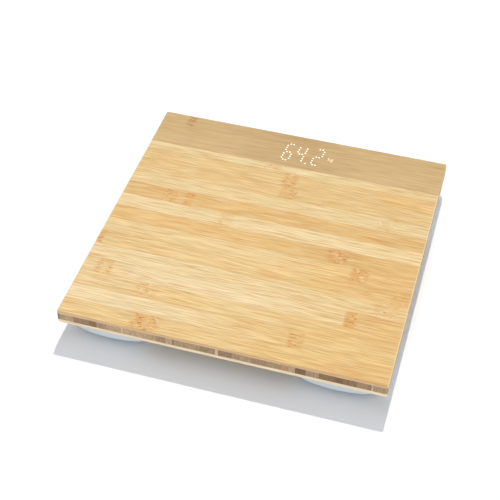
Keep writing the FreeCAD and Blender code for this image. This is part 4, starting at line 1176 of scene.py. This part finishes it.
@dataclass
class Display:
    """The reading that shines through the veneer, and the parts that make it."""

    wardrobe: Wardrobe
    reading: tuple[tuple[float, tuple[Segment, ...]], ...] = (
        (-15.6, SIX),
        (-2.5, FOUR),
        (15.3, TWO),
    )
    point_right: float = 6.4
    digit_width: float = 7.6
    digit_height: float = 25.7
    dot_pitch_across: float = 3.0
    dot_pitch_up: float = 3.5
    lean: float = 0.096
    dot: float = 1.55
    dot_height: float = 0.05
    unit: str = "kg"
    unit_right: float = 28.6
    unit_height: float = 6.6

    def build(self) -> None:
        """Builds the lit dots and the unit, and dresses the parts under them."""
        glow = self.wardrobe.cloth(Glow("display_light"))
        faint = self.wardrobe.cloth(Glow("unit_light", "#F0DCBE", "#DEC29A", 0.36))
        low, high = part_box("light_mask")
        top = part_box("display_veneer")[1].z
        centre = Vector(((low.x + high.x) / 2, (low.y + high.y) / 2, top))
        self._build_dots(centre, glow)
        self._build_unit(centre, faint)
        self.wardrobe.dress(Moulded("mask_black", "#26272A", 0.6), "light_mask")
        self.wardrobe.dress(Moulded("diffuser_milk", "#EEEFEB", 0.4), "diffuser_sheet")
        self.wardrobe.dress(CircuitBoard("led_board_resist"), "led_board")
        self.wardrobe.dress(Moulded("led_lens_cream", "#F3E9B8", 0.25, coat=0.5), "led_chips")
        self.wardrobe.dress(Moulded("header_black", "#1D1D1F", 0.45), "board_header")

    def _spots(self) -> list[tuple[float, float]]:
        """Gives each lit dot's place from the middle of the display, in mm.

        Returns:
            Each dot's place across and up.
        """
        spots = []
        for middle, segments in self.reading:
            for segment in segments:
                across, up = segment.value
                x = middle + across * self.digit_width / 2
                y = up * self.digit_height / 4
                spots.extend(self._row(x, y, segment.is_upright))
        point_level = -self.digit_height / 2
        spots.append((self.point_right + point_level * self.lean, point_level))
        return spots

    def _row(self, x: float, y: float, upright: bool) -> list[tuple[float, float]]:
        """Gives the places of one segment's dots, leaning to the right.

        Args:
            x: The segment's middle across, in mm.
            y: Its middle up, in mm.
            upright: Whether the dots stand over each other.

        Returns:
            Each dot's place across and up.
        """
        if upright:
            places = [(x, y + self.dot_pitch_up * step) for step in (-1, 0, 1)]
        else:
            places = [(x + self.dot_pitch_across * step, y) for step in (-0.5, 0.5)]
        return [(across + up * self.lean, up) for across, up in places]

    def _build_dots(self, centre: Vector, glow: bpy.types.Material) -> None:
        """Builds the lit dots as shallow lenses of light set in the veneer.

        Args:
            centre: The middle of the display, in metres.
            glow: The dots' material.
        """
        mesh = bmesh.new()
        for across, up in self._spots():
            place = Matrix.Translation(centre + Vector((across, up, 0)) * MM)
            shape = Matrix.Diagonal((self.dot, self.dot, self.dot_height, 1))
            bmesh.ops.create_uvsphere(
                mesh,
                u_segments=DOT_SIDES,
                v_segments=DOT_RINGS,
                radius=MM / 2,
                matrix=place @ shape,
            )
        for side in mesh.faces:
            side.smooth = True
        new_piece("display_dots", mesh, glow, "platform")

    def _build_unit(self, centre: Vector, glow: bpy.types.Material) -> None:
        """Builds the small lit unit beside the reading.

        Args:
            centre: The middle of the display, in metres.
            glow: The letters' material.
        """
        text = bpy.data.curves.new("unit_text", "FONT")
        text.body = self.unit
        text.size = self.unit_height * MM
        text.align_x = "CENTER"
        text.align_y = "CENTER"
        text.extrude = self.dot_height * MM / 4
        holder = bpy.data.objects.new("unit_text", text)
        bpy.context.scene.collection.objects.link(holder)
        data = bpy.data.meshes.new_from_object(holder)
        bpy.data.objects.remove(holder)
        mesh = bmesh.new()
        mesh.from_mesh(data)
        bmesh.ops.remove_doubles(mesh, verts=mesh.verts, dist=MM / 1000)
        lean = Matrix.Identity(4)
        lean[0][1] = self.lean
        place = Matrix.Translation(centre + Vector((self.unit_right, 0, 0)) * MM)
        bmesh.ops.transform(mesh, matrix=place @ lean, verts=mesh.verts)
        new_piece("display_unit", mesh, glow, "platform")


@dataclass
class Electronics:
    """The housing under the back of the platform and what it carries."""

    wardrobe: Wardrobe

    def build(self) -> None:
        """Dresses the housing, the boards and the button."""
        dress = self.wardrobe.dress
        dress(Moulded("housing_ivory", "#E4E6E6", 0.42, coat=0.1), "electronics_housing")
        dress(Moulded("button_slate", "#8E979C", 0.45), "unit_button")
        dress(CircuitBoard("main_board_resist"), "main_board")
        dress(Moulded("chip_resin", "#1B1C1E", 0.55, depth=0.006), "controller_chip")
        dress(Moulded("switch_black", "#2A2B2D", 0.5), "unit_switch")
        dress(SCREW_STEEL, "housing_screws", "board_screws")


@dataclass
class BatteryBay:
    """The three cells, their contacts and the sliding door."""

    wardrobe: Wardrobe
    cells: tuple[str, ...] = ("battery_front", "battery_middle", "battery_rear")

    def build(self) -> None:
        """Dresses the cells one by one, because each has its own place."""
        for name in self.cells:
            low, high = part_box(name)
            centre = tuple((low + high) / 2)
            length = (high.x - low.x) / MM
            sleeve = BatterySleeve(f"{name}_sleeve", centre, length)
            self.wardrobe.dress(sleeve, name)
        nickel = Steel("contact_nickel", "#D3D0C8", 0.18, (2.0, 2.0, 2.0))
        self.wardrobe.dress(nickel, "spring_contacts", "plate_contacts")
        door = Moulded("door_ivory", "#E0E2E2", 0.42, coat=0.1)
        self.wardrobe.dress(door, "battery_door")


@dataclass
class FootPod:
    """One foot: its housing, load cell, cap, pad, screws and lead."""

    wardrobe: Wardrobe
    corner: str

    def build(self) -> None:
        """Dresses the foot."""
        dress = self.wardrobe.dress
        corner = self.corner
        dress(Moulded("foot_pale_blue", "#CFD8DB", 0.3, coat=0.4), f"{corner}_foot_cap")
        dress(Moulded("pod_pale_blue", "#C8D1D4", 0.35, coat=0.2), f"{corner}_foot_housing")
        dress(Rubber("pad_grey", "#9DA4A6"), f"{corner}_foot_pad")
        dress(Steel("cell_steel", "#B4B5B3", 0.34), f"{corner}_load_cell")
        dress(Rubber("gauge_silicone", "#E9E6DC", 0.5), f"{corner}_strain_gauge")
        dress(SCREW_STEEL, f"{corner}_foot_screws")
        dress(Moulded("lead_vinyl", "#3A3C40", 0.5), f"{corner}_sensor_lead")


# --- Studio ---------------------------------------------------------------------------


@dataclass
class Studio:
    """A white floor, a white sky, a key light from behind and a low fill from the front.

    The floor has painted shade close to the part: between the two distances of shade from its
    middle its colour is painted a little darker and cooler, and its camera-only lift fades out.
    Up to light_table it lets lamps shine through.
    """

    floor_side: float = 24.0
    floor_drop: float = 0.05
    light_table: float = 145.0
    table_edge: float = 5.0
    floor: str = "#FDFDFD"
    # Colour of the floor's painted shade next to the part.
    shaded: str = "#EFF4FC"
    # Distances from the middle, in mm, over which the painted shade fades into the plain floor.
    shade: tuple[float, float] = (130.0, 168.0)
    # Camera-only brightening of the floor, held back near the part as painted shade.
    lift: str = "#60636A"
    dome: float = 0.52
    dome_colour: str = "#F8FBFF"
    key_strength: float = 1.85
    key_colour: str = "#FFFDF9"
    key_elevation: float = 53.0
    key_turn: float = 171.0
    key_softness: float = 1.2
    fill_strength: float = 1.08
    fill_elevation: float = 5.0
    fill_softness: float = 12.0
    azimuth: float = 15.7
    elevation: float = 44.58
    roll: float = 0.75
    distance: float = 1081.0
    aim: tuple[float, float, float] = (-6.8, -26.8, 32.0)
    lens: float = 83.1
    sensor: float = 36.0

    def build(self) -> None:
        """Sets the floor, the lights and the camera."""
        scene = bpy.context.scene
        scene.view_settings.view_transform = "Standard"
        self._build_floor()
        self._build_sky(scene)
        key = self._lamp(
            "key_light", self.key_strength, self.key_elevation, self.key_turn, self.key_softness
        )
        key.color = paint(self.key_colour)[:3]
        self._lamp("fill_light", self.fill_strength, self.fill_elevation, 0.0, self.fill_softness)
        self._build_camera(scene)

    def _build_floor(self) -> None:
        """Lays a wide white floor."""
        mesh = bmesh.new()
        bmesh.ops.create_grid(
            mesh,
            x_segments=1,
            y_segments=1,
            size=self.floor_side / 2,
            matrix=Matrix.Translation((0, 0, -self.floor_drop * MM)),
        )
        data = bpy.data.meshes.new("floor")
        mesh.to_mesh(data)
        mesh.free()
        data.materials.append(self._floor_material())
        floor = bpy.data.objects.new("floor", data)
        bpy.context.scene.collection.objects.link(floor)

    def _floor_material(self) -> bpy.types.Material:
        """Builds the floor's white, with painted shade near the part, clear to a view from below
        and to light under the part.

        Returns:
            The material.
        """
        surface = Surface("floor_white")
        surface.set(Roughness=1.0, Specular_IOR_Level=0.0)
        path = surface.add("LightPath")
        shown, shadow, bounces = (
            Wire(surface, path.outputs[name])
            for name in ("Is Camera Ray", "Is Shadow Ray", "Diffuse Depth")
        )
        x, y, _ = surface.split(surface.place)
        reach = abs(x).most(abs(y))
        # Painted shade: near the part the floor is painted darker and cooler, and the lift below
        # is held back there.
        away = reach.step(*self.shade)
        surface.set(Base_Color=surface.mix(away, paint(self.shaded), paint(self.floor)))
        lift = surface.mix(shown * away, paint("#000000"), paint(self.lift))
        surface.set(Emission_Color=lift, Emission_Strength=1.0)
        under = 1.0 - reach.step(self.light_table - self.table_edge, self.light_table)
        direct = (2.0 - shadow) > bounces
        below = surface.wire("NewGeometry", out="Backfacing")
        surface.clear_where(shown * below + (1.0 - shown) * under * direct)
        return surface.material

    def _build_sky(self, scene: bpy.types.Scene) -> None:
        """Lights the object evenly, and shows white to the camera and in reflections.

        Args:
            scene: The scene that gets the sky.
        """
        world = bpy.data.worlds.new("white_sky")
        world.use_nodes = True
        scene.world = world
        sky = Graph(world.node_tree)
        path = sky.add("LightPath")
        shown = Wire(sky, path.outputs["Is Camera Ray"])
        for name in ("Is Glossy Ray", "Is Transmission Ray"):
            shown = shown.most(Wire(sky, path.outputs[name]))
        back = world.node_tree.nodes["Background"]
        colour = sky.mix(shown, paint(self.dome_colour), paint("#FFFFFF"))
        sky.feed(back.inputs["Color"], colour)
        sky.feed(back.inputs["Strength"], shown * (1.0 - self.dome) + self.dome)

    def _lamp(
        self, name: str, strength: float, elevation: float, turn: float, softness: float
    ) -> bpy.types.Light:
        """Adds a far lamp.

        Args:
            name: The lamp's name.
            strength: Its light, in watts per square metre.
            elevation: Its height above the horizon, in degrees.
            turn: Degrees from the camera's own side.
            softness: Its width in the sky, in degrees.

        Returns:
            The lamp's light.
        """
        light = bpy.data.lights.new(name, "SUN")
        light.energy = strength
        light.angle = math.radians(softness)
        lamp = bpy.data.objects.new(name, light)
        lamp.visible_glossy = False
        tilt = math.radians(90.0 - elevation)
        heading = math.radians(self.azimuth + turn)
        lamp.rotation_euler = (tilt, 0.0, heading)
        bpy.context.scene.collection.objects.link(lamp)
        return light

    def _build_camera(self, scene: bpy.types.Scene) -> None:
        """Sets the camera in front, to the right and above.

        Args:
            scene: The scene that gets the camera.
        """
        azimuth, elevation, roll = (
            math.radians(angle) for angle in (self.azimuth, self.elevation, self.roll)
        )
        back = Vector(
            (
                math.sin(azimuth) * math.cos(elevation),
                -math.cos(azimuth) * math.cos(elevation),
                math.sin(elevation),
            )
        )
        data = bpy.data.cameras.new("camera")
        data.lens = self.lens
        data.sensor_width = self.sensor
        camera = bpy.data.objects.new("camera", data)
        turned = back.to_track_quat("Z", "Y").to_matrix().to_4x4()
        place = Matrix.Translation((Vector(self.aim) + back * self.distance) * MM)
        camera.matrix_world = place @ turned @ Matrix.Rotation(roll, 4, "Z")
        scene.collection.objects.link(camera)
        scene.camera = camera


def main() -> None:
    """Loads the frame, dresses it, adds the display's light and sets the studio."""
    logging.basicConfig(level=logging.INFO, format="%(name)s: %(message)s")
    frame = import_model()
    wardrobe = Wardrobe(frame["nodes"])
    corners = [name.removesuffix("_foot") for name in frame["bodies"] if name.endswith("_foot")]
    sub_assemblies = [
        Platform(wardrobe),
        Display(wardrobe),
        Electronics(wardrobe),
        BatteryBay(wardrobe),
        *(FootPod(wardrobe, corner) for corner in corners),
    ]
    for part in sub_assemblies:
        part.build()
    wardrobe.check()
    Studio().build()


if __name__ == "__main__":
    main()
